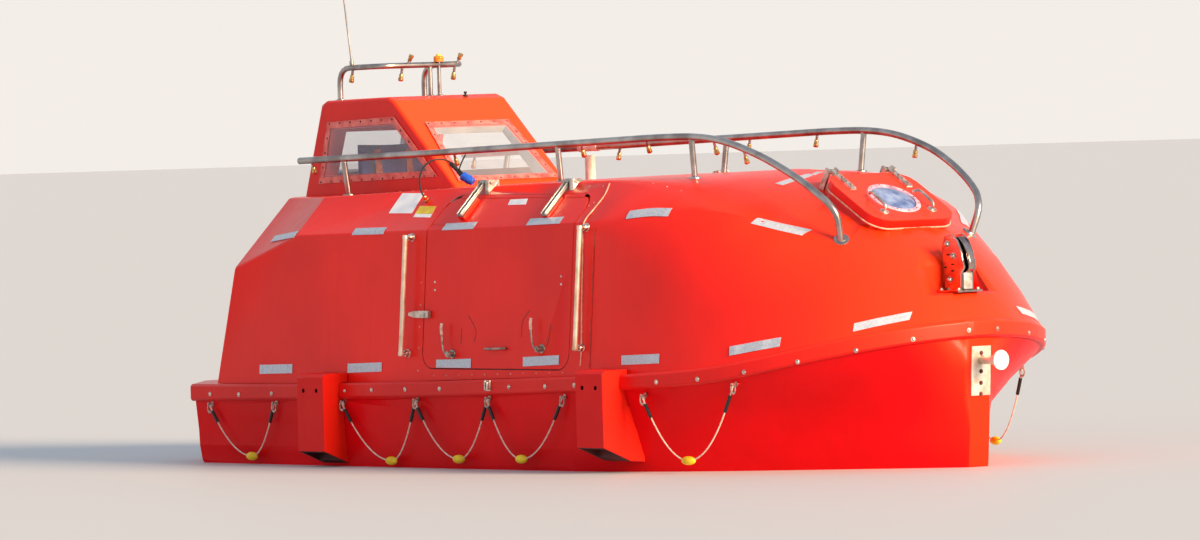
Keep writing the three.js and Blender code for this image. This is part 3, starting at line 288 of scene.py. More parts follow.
def outwards(piece, welded=False):
    """Its faces are turned to point out, after its seams and poles are closed if it is a welded one."""
    pick(piece)
    bpy.ops.object.mode_set(mode="EDIT")
    bpy.ops.mesh.select_all(action="SELECT")
    if welded:
        bpy.ops.mesh.remove_doubles(threshold=0.00001)
    bpy.ops.mesh.normals_make_consistent(inside=False)
    bpy.ops.object.mode_set(mode="OBJECT")


def turned(name, outline, start, end, steps=24):
    """A round piece: its half outline, as (radius, distance from start), turned about the line to end."""
    mesh = bpy.data.meshes.new(name)
    mesh.from_pydata([(r, 0, z) for r, z in outline], [(i, i + 1) for i in range(len(outline) - 1)], [])
    piece = bpy.data.objects.new(name, mesh)
    bpy.context.scene.collection.objects.link(piece)
    pick(piece)
    lathe = piece.modifiers.new("lathe", "SCREW")
    lathe.steps = lathe.render_steps = steps
    lathe.use_merge_vertices = True
    lathe.merge_threshold = 0.00001
    bpy.ops.object.modifier_apply(modifier=lathe.name)
    outwards(piece, welded=True)
    return along(piece, start, end)


def box(middle, size, edge=0.0, segments=2):
    """A block, with its edges rounded over to that reach if any."""
    bpy.ops.object.select_all(action="DESELECT")
    bpy.ops.mesh.primitive_cube_add(size=1, location=middle, scale=size)
    bpy.ops.object.transform_apply()
    if edge:
        bpy.ops.object.mode_set(mode="EDIT")
        bpy.ops.mesh.bevel(offset=edge, segments=segments)
        bpy.ops.object.mode_set(mode="OBJECT")
    return bpy.context.object


def sheet(columns, rows):
    """A flat grid of one metre, to lay on a surface."""
    bpy.ops.object.select_all(action="DESELECT")
    bpy.ops.mesh.primitive_grid_add(x_subdivisions=columns, y_subdivisions=rows, size=1)
    return bpy.context.object


def thickened(piece, thickness):
    """The laid sheet gets its thickness."""
    thick = piece.modifiers.new("thickness", "SOLIDIFY")
    thick.thickness = thickness
    bpy.ops.object.modifier_apply(modifier=thick.name)
    outwards(piece)
    return piece


def joined(pieces, name, body, material, smooth=40):
    """Several meshes as one finished piece."""
    pick(*pieces)
    if len(pieces) > 1:
        bpy.ops.object.join()
    return finish_piece(bpy.context.object, name, body, material, smooth)


def ring(at, across, down, radius, wire, stretch=1.0):
    """A round wire ring at a place, flat in the plane of two directions and longer along the second."""
    bpy.ops.object.select_all(action="DESELECT")
    bpy.ops.mesh.primitive_torus_add(major_radius=radius, minor_radius=wire, major_segments=20,
                                     minor_segments=8)
    made = bpy.context.object
    across, down = Vector(across).normalized(), Vector(down).normalized()
    turn = Matrix((across, down * stretch, across.cross(down))).transposed().to_4x4()
    made.data.transform(Matrix.Translation(at) @ turn)
    return made


EYE_UP = 0.00825
for word, side in SIDES.items():
    links = []
    for eyes in EYES.values():
        for x, z in eyes:
            y = side * (hull_side(x) + LINE_OUT)
            links.append(ring((x, y, z - 0.016), (0.8, 0.6, 0), (0, 0, 1), 0.012, 0.0038, 1.9))
            links.append(turned("eye_bolt", [(0, 0), (0.008, 0), (0.008, 0.004), (0.005, 0.007), (0, 0.007)],
                                (x, y + side * 0.006, z + EYE_UP), (x, y + side * 0.02, z + EYE_UP), 12))
            links.append(turned("eye_foot", [(0, 0), (0.014, 0), (0.014, 0.004), (0.006, 0.006), (0, 0.006)],
                                (x, y - side * LINE_OUT, z + EYE_UP), (x, y, z + EYE_UP), 12))
    joined(links, f"{word}_grab_line_shackles", "boat", zinc)

for word, side in SIDES.items():
    for run, eyes in EYES.items():
        for i in range(1, len(eyes)):
            name = f"{word}_grab_line_{run}_{i}"
            route = bight(side, eyes[i - 1], eyes[i], *LOWEST[run][i - 1])
            line = curve_through(name, route, LINE_R)
            line.data.materials.append(braid)
            half = BIGHT_STEPS // 2
            middle, lie = Vector(route[half]), Vector(route[half + 2]) - Vector(route[half - 2])
            bpy.ops.object.select_all(action="DESELECT")
            bpy.ops.mesh.primitive_uv_sphere_add(segments=24, ring_count=16, radius=FLOAT_R)
            buoy = bpy.context.object
            buoy.data.transform(Matrix.Diagonal((0.9, 0.9, 1.75, 1)))
            along(buoy, middle, middle + lie)
            finish_piece(buoy, f"{name}_float", "boat", float_skin, 60)
            ends = [tube(f"{name}_sleeve_{w}", route[a:b], SLEEVE_R)
                    for w, a, b in (("a", 1, 4), ("b", 29, 32))]
            for end in ends:
                finish_piece(end, end.name, "boat", sleeve_black, 50)
            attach(line, "boat")
            if i == 1:
                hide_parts(f"{word}_grab_line_{run}")

# Charging lead
# The 10 mm rubber lead of the battery charger: up from its gland on the slanted panel, over
# in a bow, and down to the blue connector that is tied under the handrail.
LEAD = [
    (-0.679, -0.8884, 1.4394), (-0.679, -0.8978, 1.449), (-0.686, -0.904, 1.470), (-0.702, -0.901, 1.502),
    (-0.723, -0.885, 1.540), (-0.742, -0.856, 1.577), (-0.756, -0.818, 1.609), (-0.763, -0.772, 1.631),
    (-0.762, -0.726, 1.640), (-0.756, -0.688, 1.637), (-0.7455, -0.6606, 1.6259), (-0.7379, -0.6573, 1.6179),
]
LEAD_R = 0.005
PLUG = [(-0.7376, -0.6572, 1.6176), (-0.668, -0.628, 1.545), (-0.606, -0.604, 1.508)]
LANYARD = [(-0.69, -0.588, 1.66), (-0.695, -0.606, 1.63), (-0.69, -0.632, 1.588), (-0.682, -0.634, 1.566)]
GLAND = [(-0.679, -0.846, 1.396), (-0.679, -0.888, 1.439)]
# Rubber of the lead: black, with a dull sheen
lead_rubber = patchy("rubber_lead", "#141416", 0.5, 0.0, ("#1c1c1f", "#0c0c0e", 80), 0.0004)

# Blue polyamide of the connector's cap: moulded, smooth, a little chalky.
plug_blue = patchy("blue_polyamide", "#1458d8", 0.38, 0.0, ("#246cf0", "#0f46b4", 30), 0.0006)

# Nickelled brass: warm and bright, dulled in patches.
brass = patchy("nickelled_brass", "#d8b06a", 0.3, 1.0, ("#e6c486", "#9c7440", 60), 0.0004)


def smooth_points(points, steps):
    """More points between the given ones, on a curve through them all."""
    knots = [Vector(p) for p in points]
    knots = [2 * knots[0] - knots[1], *knots, 2 * knots[-1] - knots[-2]]
    line = []
    for a, b, c, d in zip(knots, knots[1:], knots[2:], knots[3:]):
        for k in range(steps):
            t = k / steps
            line.append(b + 0.5 * t * (c - a + t * (2 * a - 5 * b + 4 * c - d + t * (3 * (b - c) + d - a))))
    return [*line, knots[-2]]


lead_route = smooth_points(LEAD, 2)
lead = curve_through("charging_lead_cable", lead_route, LEAD_R)
lead.data.materials.append(lead_rubber)
body_of_plug = turned("charging_plug_grip", [
    (0, 0), (0.009, 0), (0.0125, 0.012), (0.0125, 0.03), (0.0105, 0.034), (0.0125, 0.038), (0.0105, 0.046),
    (0.0125, 0.05), (0.0105, 0.058), (0.0125, 0.062), (0.0145, 0.09), (0.0145, 0.104), (0, 0.104)],
    PLUG[0], PLUG[1])
finish_piece(body_of_plug, "charging_plug_grip", "boat", sleeve_black, 40)
cap = turned("charging_plug_cap", [
    (0, -0.004), (0.02, -0.004), (0.0255, 0.002), (0.0255, 0.014), (0.023, 0.016), (0.023, 0.026),
    (0.0255, 0.028), (0.0255, 0.05), (0.021, 0.056), (0.021, 0.068), (0.017, 0.073), (0, 0.073)],
    PLUG[1], PLUG[2])
lanyard = tube("lanyard", smooth_points(LANYARD, 4), 0.004)
finish_piece(lanyard, "charging_plug_lanyard", "boat", sleeve_black, 40)
finish_piece(cap, "charging_plug_cap", "boat", plug_blue, 40)
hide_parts("charging_plug")
gland_nut = turned("charging_gland", [
    (0.006, 0.068), (0.009, 0.064), (0.0125, 0.05), (0.0125, 0.044), (0.0155, 0.042), (0.0155, 0.024),
    (0.019, 0.022), (0.019, 0.0), (0, 0.0), (0, 0.068), (0.006, 0.068)], GLAND[0], GLAND[1], 12)
finish_piece(gland_nut, "charging_gland", "boat", brass, 30)
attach(lead, "boat")
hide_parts("charging_lead")

# Hull
# Hand-laid glass fibre with a red gelcoat, moulded in one piece with its skeg. It is darker
# under the strake, glossy, and a little wavy where the cloth prints through.
def gelcoat(name, light, dark, roughness, sunlit="#f4380e", shine=0.3):
    """Red gelcoat: a slow random drift of tone, painted sunlight that turns faces toward the sun orange, dirt
    runs, an uneven gloss.
    """
    made, tree, shader, place = plain_material(
        name, light, roughness, IOR=1.45, Specular_IOR_Level=shine, Coat_Weight=0.12,
        Coat_Roughness=0.1, Coat_IOR=1.3)
    _, tint = mottled(tree, shader, place, light, dark, 1.6, (0.3, 0.7))
    down = add_node(tree, "ShaderNodeMapping", [("Vector", place.outputs["Object"])], Scale=(9, 9, 0.7))
    runs = add_node(tree, "ShaderNodeTexNoise", [("Vector", down.outputs["Vector"])], Scale=2.2, Detail=6.0)
    faint = add_node(tree, "ShaderNodeMapRange", [("Value", runs.outputs["Fac"])],
                     **{"From Min": 0.52, "From Max": 0.78, "To Min": 0.0, "To Max": 0.28})
    dirty = add_node(tree, "ShaderNodeMix", [("Factor", faint.outputs["Result"])], data_type="RGBA")
    tree.links.new(tint.outputs["Color"], dirty.inputs["A"])
    dirty.inputs["B"].default_value = colour(dark)
    # Painted sunlight: the more a face turns toward the sun's side, the more its colour is mixed toward a lit
    # orange
    sunward = add_node(tree, "ShaderNodeVectorMath", [(0, place.outputs["Normal"])], operation="DOT_PRODUCT")
    sunward.inputs[1].default_value = (0.82, 0, 0.57)
    sun_facing = add_node(tree, "ShaderNodeMapRange", [("Value", sunward.outputs["Value"])],
                    **{"From Min": 0.35, "From Max": 0.97, "To Min": 0.0, "To Max": 0.9})
    sunlit_mix = add_node(tree, "ShaderNodeMix", [("Factor", sun_facing.outputs["Result"])], data_type="RGBA")
    tree.links.new(dirty.outputs["Result"], sunlit_mix.inputs["A"])
    sunlit_mix.inputs["B"].default_value = colour(sunlit)
    tree.links.new(sunlit_mix.outputs["Result"], shader.inputs["Base Color"])
    gloss = add_node(tree, "ShaderNodeMapRange", [("Value", runs.outputs["Fac"])],
                     **{"To Min": roughness - 0.06, "To Max": roughness + 0.08})
    tree.links.new(gloss.outputs["Result"], shader.inputs["Roughness"])
    swell = add_node(tree, "ShaderNodeTexNoise", [("Vector", place.outputs["Object"])], Scale=5.0, Detail=2.0)
    relief(tree, shader, swell.outputs["Fac"], 0.004, 0.35)
    return made


def moulded(node, name, material, body="boat", smooth=28, soften=0.0, shortest=0.05):
    """Stands for a CAD solid: a merged copy, its flat triangles dissolved and its long edges softened."""
    piece = bpy.data.objects.new(name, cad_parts[node].data.copy())
    bpy.context.scene.collection.objects.link(piece)
    pick(piece)
    bpy.ops.object.mode_set(mode="EDIT")
    bpy.ops.mesh.select_mode(type="EDGE")
    bpy.ops.mesh.select_all(action="SELECT")
    bpy.ops.mesh.remove_doubles(threshold=0.00005)
    bpy.ops.mesh.dissolve_limited(angle_limit=math.radians(0.3))
    bpy.ops.mesh.select_all(action="DESELECT")
    bpy.ops.object.mode_set(mode="OBJECT")
    if soften:
        shape = bmesh.new()
        shape.from_mesh(piece.data)
        for edge, drawn in zip(shape.edges, piece.data.edges):
            drawn.select = (edge.calc_length() > shortest and edge.is_manifold
                            and abs(edge.calc_face_angle_signed(0)) > math.radians(34))
        shape.free()
        bpy.ops.object.mode_set(mode="EDIT")
        bpy.ops.mesh.bevel(offset=soften, segments=2, clamp_overlap=False)
        bpy.ops.object.mode_set(mode="OBJECT")
    finish_piece(piece, name, body, material, smooth)
    even = piece.modifiers.new("even_shading", "WEIGHTED_NORMAL")
    even.keep_sharp = True
    bpy.ops.object.modifier_apply(modifier=even.name)
    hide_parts(node)
    return piece


def repaint(piece, material, belongs):
    """Gives another finish to the faces whose middle and normal belong to it."""
    piece.data.materials.append(material)
    for face in piece.data.polygons:
        if belongs(face.center, face.normal):
            face.material_index = len(piece.data.materials) - 1


def skin_of(*pieces):
    """The surface of some pieces, to set others on."""
    gathered = bmesh.new()
    for piece in pieces:
        gathered.from_mesh(piece.data)
    return BVHTree.FromBMesh(gathered)


def keep_crisp(piece, ahead):
    """The flat panels aft of a place keep their edges, however slight the angle."""
    shape = bmesh.new()
    shape.from_mesh(piece.data)
    for edge in shape.edges:
        folded = edge.is_manifold and edge.calc_face_angle() > math.radians(5)
        if folded and max(v.co.x for v in edge.verts) < ahead:
            edge.smooth = False
    shape.to_mesh(piece.data)
    shape.free()


def behind_the_wall(piece, height):
    """A test for faces on the inside of a shell, seen from its middle line at that height."""
    walls = skin_of(piece)

    def test(middle, normal):
        out = (middle - Vector((min(max(middle.x, -2.2), 1.9), 0, height))).normalized()
        return normal.dot(out) < -0.35 and walls.ray_cast(middle + out * 0.003, out, 0.12)[0] is not None
    return test


# Inside, the mouldings have a pale grey flow coat, brushed on over the cloth.
flow_coat, tree, shader, place = plain_material("pale_grey_flow_coat", "#c6cacc", 0.55)
cloud, _ = mottled(tree, shader, place, "#d2d6d7", "#adb2b5", 5)
cloth = add_node(tree, "ShaderNodeTexVoronoi", [("Vector", place.outputs["Object"])], Scale=160.0)
relief(tree, shader, cloth.outputs["Distance"], 0.001, 0.6)

# The hull is the deepest red of the boat, and the most even
hull_red = gelcoat("hull_red_gelcoat", "#e60a14", "#ca070e", 0.36, shine=0.1)
hull = moulded("hull_shell", "hull_moulding", hull_red)
keep_crisp(hull, 0.9)
repaint(hull, flow_coat, behind_the_wall(hull, 0.4))

# Rubbing strake
# The gunwale flange of hull and canopy, bolted through every 0.27 m, with its edge rounded over.
STRAKE_BOLTS = [
    (-2.307, 0.366), (-2.041, 0.366), (-1.740, 0.373), (-1.078, 0.394), (-0.837, 0.401), (-0.540, 0.407),
    (-0.237, 0.413), (0.365, 0.428), (0.672, 0.433), (0.92, 0.442), (1.553, 0.462), (1.829, 0.477),
    (2.105, 0.512), (2.375, 0.561), (2.610, 0.613), (2.772, 0.661),
]
BOW_BOLT = (2.867, 0.098, 0.696)
DECK_FITTING = (0.185, 0.434)
# The strake is scuffed where it has rubbed along the ship
strake_red = gelcoat("strake_red_gelcoat", "#e2130e", "#cc0e0c", 0.38)
strake = moulded("rubbing_strake", "strake_moulding", strake_red, soften=0.004)
strake_skin = skin_of(strake)

# Stainless fasteners: cast and tumbled, bright with a brown tea stain in places.
bolt_steel = patchy("stainless_fastener", "#c9c0b8", 0.28, 1.0,
                    ("#d8d0c8", "#8f7a68", 45, (0.3, 0.55)), 0.0004)


def on_side(skin, x, z, side):
    """Where a line square to the boat's side first meets the skin from outside, and the normal there."""
    spot, normal, _, _ = skin.ray_cast(Vector((x, side * 3, z)), Vector((0, -side, 0)))
    return spot, normal


def on_top(skin, x, y):
    """The same from above."""
    spot, normal, _, _ = skin.ray_cast(Vector((x, y, 4)), Vector((0, 0, -1)))
    return spot, normal


def fasteners(places, outline, name, body, material, steps=14):
    """A small turned fastener at each place, turned to the normal there."""
    heads = [turned(name, outline, spot, spot + normal, steps) for spot, normal in places]
    joined(heads, name, body, material)


DOME_ON_WASHER = [
    (0, 0.009), (0.004, 0.0085), (0.0075, 0.0065), (0.009, 0.0035), (0.009, 0.0025), (0.0125, 0.0025),
    (0.0125, -0.002), (0, -0.002)]
for word, side in SIDES.items():
    spots = [on_side(strake_skin, x, z, side) for x, z in STRAKE_BOLTS]
    x, y, z = BOW_BOLT
    ahead, facing, _, _ = strake_skin.ray_cast(Vector((4, side * y, z)), Vector((-1, 0, 0)))
    fasteners([*spots, (ahead, facing)], DOME_ON_WASHER, f"{word}_strake_bolts", "boat", bolt_steel)
    x, z = DECK_FITTING
    spot, _ = on_side(strake_skin, x, z, side)
    parts = []
    for dx, wide, tall, out in ((0, 0.048, 0.058, 0.006), (-0.012, 0.01, 0.05, 0.016),
                                (0.012, 0.012, 0.046, 0.02)):
        parts.append(box((x + dx, spot.y + side * out / 2, z), (wide, out, tall), 0.002))
    joined(parts, f"{word}_strake_fitting", "boat", bolt_steel)

# Canopy
# The upper moulding, with flat panels aft, a round bow, and the niches for the two hooks.
# Its hinge brackets for the doors and the hatch are steel, cast and bolted on.
ARMS = (-0.231, 0.495)
DOOR_AXIS = (0.826, 1.512)
HATCH = (2.141, 1.340)
HATCH_FALL = math.radians(29.5)
# The canopy is an orange red, glossier than the hull
canopy_red = gelcoat("canopy_red_gelcoat", "#f4190d", "#e0130b", 0.34)
canopy = moulded("canopy_shell", "canopy_moulding", canopy_red)
canopy_skin = skin_of(canopy)
keep_crisp(canopy, 0.9)
repaint(canopy, flow_coat, behind_the_wall(canopy, 0.9))


def on_hatch(spot):
    """A point's place in the hatch's own frame: along its fall, across, and up from its plane."""
    x, z = spot.x - HATCH[0], spot.z - HATCH[1]
    return (x * math.cos(HATCH_FALL) - z * math.sin(HATCH_FALL), spot.y,
            x * math.sin(HATCH_FALL) + z * math.cos(HATCH_FALL))


def from_hatch(along_it, across, up):
    """The point that has this place in the hatch's frame."""
    return Vector((HATCH[0] + along_it * math.cos(HATCH_FALL) + up * math.sin(HATCH_FALL), across,
                   HATCH[1] - along_it * math.sin(HATCH_FALL) + up * math.cos(HATCH_FALL)))


# Cast stainless: satin, pale, with a pebbled skin from the mould.
cast_steel, tree, shader, place = plain_material("cast_stainless", "#cfc8c0", 0.36, 0.9)
cloud, _ = mottled(tree, shader, place, "#dcd6ce", "#a2968c", 30)
pebble = add_node(tree, "ShaderNodeTexNoise", [("Vector", place.outputs["Object"])], Scale=300.0, Detail=3.0)
relief(tree, shader, pebble.outputs["Fac"], 0.0008)


def is_bracket(middle, normal):
    """Whether a face of the canopy belongs to a hinge bracket of a door or of the hatch."""
    along_it, across, up = on_hatch(middle)
    lug = -0.304 < along_it < -0.26 and 0.15 < abs(across) < 0.24 and up > 0.014
    foot = any(-0.03 < middle.x - x < 0.062 for x in ARMS) and middle.z > 1.45
    foot = foot and 0.768 < abs(middle.y) < 0.846
    square = max(abs(normal.x), abs(normal.y), normal.z) > 0.99
    pin = math.hypot(abs(middle.y) - DOOR_AXIS[0], middle.z - DOOR_AXIS[1]) < 0.012
    return lug or (foot and (square or pin))


repaint(canopy, cast_steel, is_bracket)

# Side doors
# Each leaf is moulded from the same mould as the canopy and hangs on two steel arms from the
# roof's edge. A rubber seal, red-brown with gelcoat dust, fills the gap round it.
DOOR = (-0.487, 0.787, 0.514, 1.446)
DOOR_CORNER = 0.095
HANDLES = [(-0.218, 0.597), (0.551, 0.628)]
PULL = [(0.086, 0.626), (0.249, 0.630)]
LATCH = [(-0.606, 0.809), (-0.418, 0.811)]
ARCS = [
    [(-0.094, 0.806), (-0.024, 0.726), (-0.034, 0.664)], [(-0.147, 0.735), (-0.149, 0.695), (-0.150, 0.655)],
    [(0.437, 0.834), (0.376, 0.772), (0.374, 0.692)], [(0.619, 0.760), (0.610, 0.690), (0.592, 0.640)],
]
DOOR_RIVETS = [(-0.397, 0.983), (-0.394, 0.940), (0.690, 1.013), (0.693, 0.971)]


def panel(z):
    """Half the canopy's width between its side panels at a height."""
    return 1.100 - 0.0861 * (z - 0.445)


def cut_off(piece, belongs):
    """Removes what stands on a piece and closes the skin under it."""
    shape = bmesh.new()
    shape.from_mesh(piece.data)
    away = [f for f in shape.faces if belongs(f.calc_center_median(), f.normal)]
    bmesh.ops.delete(shape, geom=away, context="FACES")
    bmesh.ops.holes_fill(shape, edges=[e for e in shape.edges if e.is_boundary], sides=0)
    shape.to_mesh(piece.data)
    shape.free()


def rounded_outline(x0, x1, z0, z1, r, steps=8):
    """The points of a rounded rectangle."""
    middles = [(x1 - r, z0 + r, -90), (x1 - r, z1 - r, 0), (x0 + r, z1 - r, 90), (x0 + r, z0 + r, 180)]
    return [(x + r * math.cos(math.radians(a + 90 * k / steps)),
             z + r * math.sin(math.radians(a + 90 * k / steps)))
            for x, z, a in middles for k in range(steps + 1)]


# The handles' steel, dulled and stained by hands and salt.
worn_steel = patchy("worn_handle_steel", "#a8a29b", 0.4, 0.9, ("#b8b1a9", "#7c7068", 30))

# The seal in the door's gap: rubber under red-brown dust.
gap_seal = patchy("red_brown_door_seal", "#54161a", 0.6, 0.0, ("#641c1f", "#3c0e12", 40), 0.0005)

# EPDM rubber, extruded: dull black with a little bloom. The same dark finish is painted shade in the slots of
# the door arms, the door brackets and the hooks.
rubber_and_slot_shade = patchy("black_rubber_and_slot_shade", "#1a1213", 0.62, 0.0, ("#241718", "#110c0d", 40), 0.0005)

# Thin painted marks on the doors: a darker red enamel.
mark_paint = patchy("dark_red_mark", "#8c0d10", 0.45, 0.0, ("#9a1012", "#74090c", 40))


def strip(laid, width, name, body, material, lift=0.0012):
    """A thin flat strip of that width along places on a surface, each with the normal there."""
    last = len(laid) - 1
    piece = sheet(1, last)
    for i, (p, n) in enumerate(laid):
        ahead = laid[min(i + 1, last)][0] - laid[max(i - 1, 0)][0]
        across = n.cross(ahead).normalized() * width / 2
        piece.data.vertices[2 * i].co = p + n * lift - across
        piece.data.vertices[2 * i + 1].co = p + n * lift + across
    finish_piece(thickened(piece, lift), name, body, material, 20)


def round_bar(name, points, radius, bend=0.0, sides=5):
    """A tube through points, its corners bent to that reach."""
    line = [Vector(points[0])]
    for before, at, after in zip(points, points[1:], points[2:]):
        at, before, after = Vector(at), Vector(before), Vector(after)
        reach = [min(bend, (p - at).length * 0.49) for p in (before, after)]
        a, b = [at + (p - at).normalized() * r for p, r in zip((before, after), reach)]
        line += [a.lerp(at, t).lerp(at.lerp(b, t), t) for t in (0, 0.2, 0.4, 0.6, 0.8, 1)] if bend else [at]
    return tube(name, [*line, Vector(points[-1])], radius, sides=sides)


leaf_skins = {}
for word, side in SIDES.items():
    body = f"{word}_door"
    leaf = moulded(body, f"{word}_door_leaf", canopy_red, body, soften=0.003)
    cut_off(leaf, lambda m, n: abs(m.y) > panel(m.z) + 0.002 and any(
        -0.10 < m.x - x < 0.03 and -0.03 < m.z - z < 0.16 for x, z in HANDLES))
    leaf_skins[word] = skin_of(leaf)
    repaint(leaf, flow_coat, behind_the_wall(leaf, 0.9))

    lip = []
    for k in range(17):
        x = DOOR[0] + DOOR_CORNER + (DOOR[1] - DOOR[0] - 2 * DOOR_CORNER) * k / 16
        above, facing = on_side(canopy_skin, x, DOOR[3] + 0.002, side)
        below, _ = on_side(leaf_skins[word], x, DOOR[3] - 0.024, side)
        lip.append((above.lerp(below, 0.46), facing))
    strip(lip, 0.022, f"{word}_door_top_lip", body, canopy_red, 0.0008)

    outline = rounded_outline(DOOR[0] + 0.003, DOOR[1] - 0.003, DOOR[2] + 0.003, DOOR[3] - 0.004, DOOR_CORNER)
    wider = rounded_outline(DOOR[0] - 0.006, DOOR[1] + 0.006, DOOR[2] - 0.006, DOOR[3] + 0.006, DOOR_CORNER)
    route = [Vector((x, on_side(canopy_skin, wx, wz, side)[0].y - side * 0.004, z))
             for (x, z), (wx, wz) in zip(outline, wider)]
    seal = tube(f"{word}_door_seal", [*route, route[0]], 0.0026)
    finish_piece(seal, f"{word}_door_seal", "boat", gap_seal, 60)

    bars, grips = [], []
    for x, z in HANDLES:
        y = panel(z)
        at = lambda dx, dz, out: (x + dx, side * (panel(z + dz) + out), z + dz)
        bars.append(turned("pivot", [
            (0, 0.05), (0.006, 0.05), (0.009, 0.047), (0.009, 0.043), (0.0155, 0.042), (0.017, 0.036),
            (0.017, 0.024), (0.013, 0.02), (0.013, 0.008), (0.024, 0.006), (0.026, 0.002), (0.026, -0.002),
            (0, -0.002)], (x, side * y, z), (x, side * (y + 1), z), 20))
        bars.append(round_bar("lever", [at(0, 0, 0.034), at(-0.029, 0.004, 0.036), at(-0.050, 0.05, 0.036),
                                        at(-0.060, 0.112, 0.036)], 0.0052, 0.03))
        grips.append(round_bar("grip", [at(-0.059, 0.104, 0.036), at(-0.066, 0.136, 0.036),
                                        at(-0.062, 0.166, 0.036)], 0.0078, 0.02))
    (xa, za), (xb, zb) = PULL
    bars.append(round_bar("pull", [
        (xa, side * panel(za), za), (xa, side * (panel(za) + 0.028), za),
        (xb, side * (panel(zb) + 0.028), zb), (xb, side * panel(zb), zb)], 0.0065, 0.016))
    joined(bars, f"{word}_door_handles", body, worn_steel)
    joined(grips, f"{word}_door_handle_grips", body, braid)
    fasteners([on_side(leaf_skins[word], x, z, side) for x, z in DOOR_RIVETS],
              [(0, 0.004), (0.004, 0.0035), (0.007, 0), (0, 0)], f"{word}_door_rivets", body, bolt_steel)
    for i, arc in enumerate(ARCS):
        laid = [on_side(leaf_skins[word], p.x, p.z, side)
                for p in smooth_points([(x, 0, z) for x, z in arc], 5)]
        strip(laid, 0.005, f"{word}_door_mark_{i + 1}", body, mark_paint, 0.0005)

    # The catch, a cast toggle on the door's aft edge that laps over the frame
    (xa, za), (xb, zb) = LATCH
    y = panel(za) + 0.004
    toggle = box(((xa + xb) / 2, side * (y + 0.011), za), (xb - xa, 0.022, 0.04))
    for v in toggle.data.vertices:
        if v.co.x < (xa + xb) / 2:
            v.co.z = za + (v.co.z - za) * 0.3
            v.co.y = side * (y + (abs(v.co.y) - y) * 0.5)
    pick(toggle)
    bpy.ops.object.mode_set(mode="EDIT")
    bpy.ops.mesh.subdivide(number_cuts=3, smoothness=0.0)
    bpy.ops.object.mode_set(mode="OBJECT")
    for v in toggle.data.vertices:
        t = (v.co.x - xa) / (xb - xa)
        swell = min(1.0, 0.42 + 1.9 * t) / (0.3 + 0.7 * t)
        v.co.z = za + (v.co.z - za) * swell
    rounded = toggle.modifiers.new("rounded", "BEVEL")
    rounded.width, rounded.segments, rounded.limit_method = 0.004, 3, "ANGLE"
    pick(toggle)
    bpy.ops.object.modifier_apply(modifier=rounded.name)
    band = turned("catch_band", [
        (0, -0.0005), (0.0, 0), (0.011, 0), (0.011, 0.026), (0.008, 0.029), (0, 0.029)],
        (xb - 0.038, side * y, za), (xb - 0.038, side * (y + 1), za), 16)
    joined([toggle, band], f"{word}_door_catch", body, cast_steel, 35)

# Door arms
# Flat steel bars 42 mm wide on moulded wedges, slotted, with their eye on the bracket's pin.
DOWN = Vector((0, 0.715, -0.699))
OUT = Vector((0, 0.699, 0.715))
# Brushed bar: fine lines along the boat
arm_steel, tree, shader, place = plain_material("brushed_arm_steel", "#b3aeab", 0.34, 1.0)
brushed = add_node(tree, "ShaderNodeMapping", [("Vector", place.outputs["Object"])], Scale=(400, 30, 30))
grain = add_node(tree, "ShaderNodeTexNoise", [("Vector", brushed.outputs["Vector"])], Scale=1.0, Detail=4.0)
tint = add_node(tree, "ShaderNodeValToRGB", [("Fac", grain.outputs["Fac"])])
tint.color_ramp.elements[0].color = colour("#8f8a88")
tint.color_ramp.elements[1].color = colour("#c6c2be")
tree.links.new(tint.outputs["Color"], shader.inputs["Base Color"])
relief(tree, shader, grain.outputs["Fac"], 0.0003)


def on_arm(x, down, out, side):
    """A point in an arm's frame: how far down the panel from its pin, and out from it."""
    spot = Vector((x, *DOOR_AXIS)) + DOWN * down + OUT * out
    return Vector((spot.x, side * spot.y, spot.z))


def slab(name, x0, x1, down0, down1, out0, out1, side, bevel=0.002):
    """A flat bar in an arm's frame, with softened edges."""
    made = box((0.5, 0.5, 0.5), (1, 1, 1))
    for v in made.data.vertices:
        v.co = on_arm(x0 + (x1 - x0) * v.co.x, down0 + (down1 - down0) * v.co.y,
                      out0 + (out1 - out0) * v.co.z, side)
    bpy.ops.object.mode_set(mode="EDIT")
    bpy.ops.mesh.normals_make_consistent(inside=False)
    bpy.ops.mesh.bevel(offset=bevel, segments=2)
    bpy.ops.object.mode_set(mode="OBJECT")
    return made


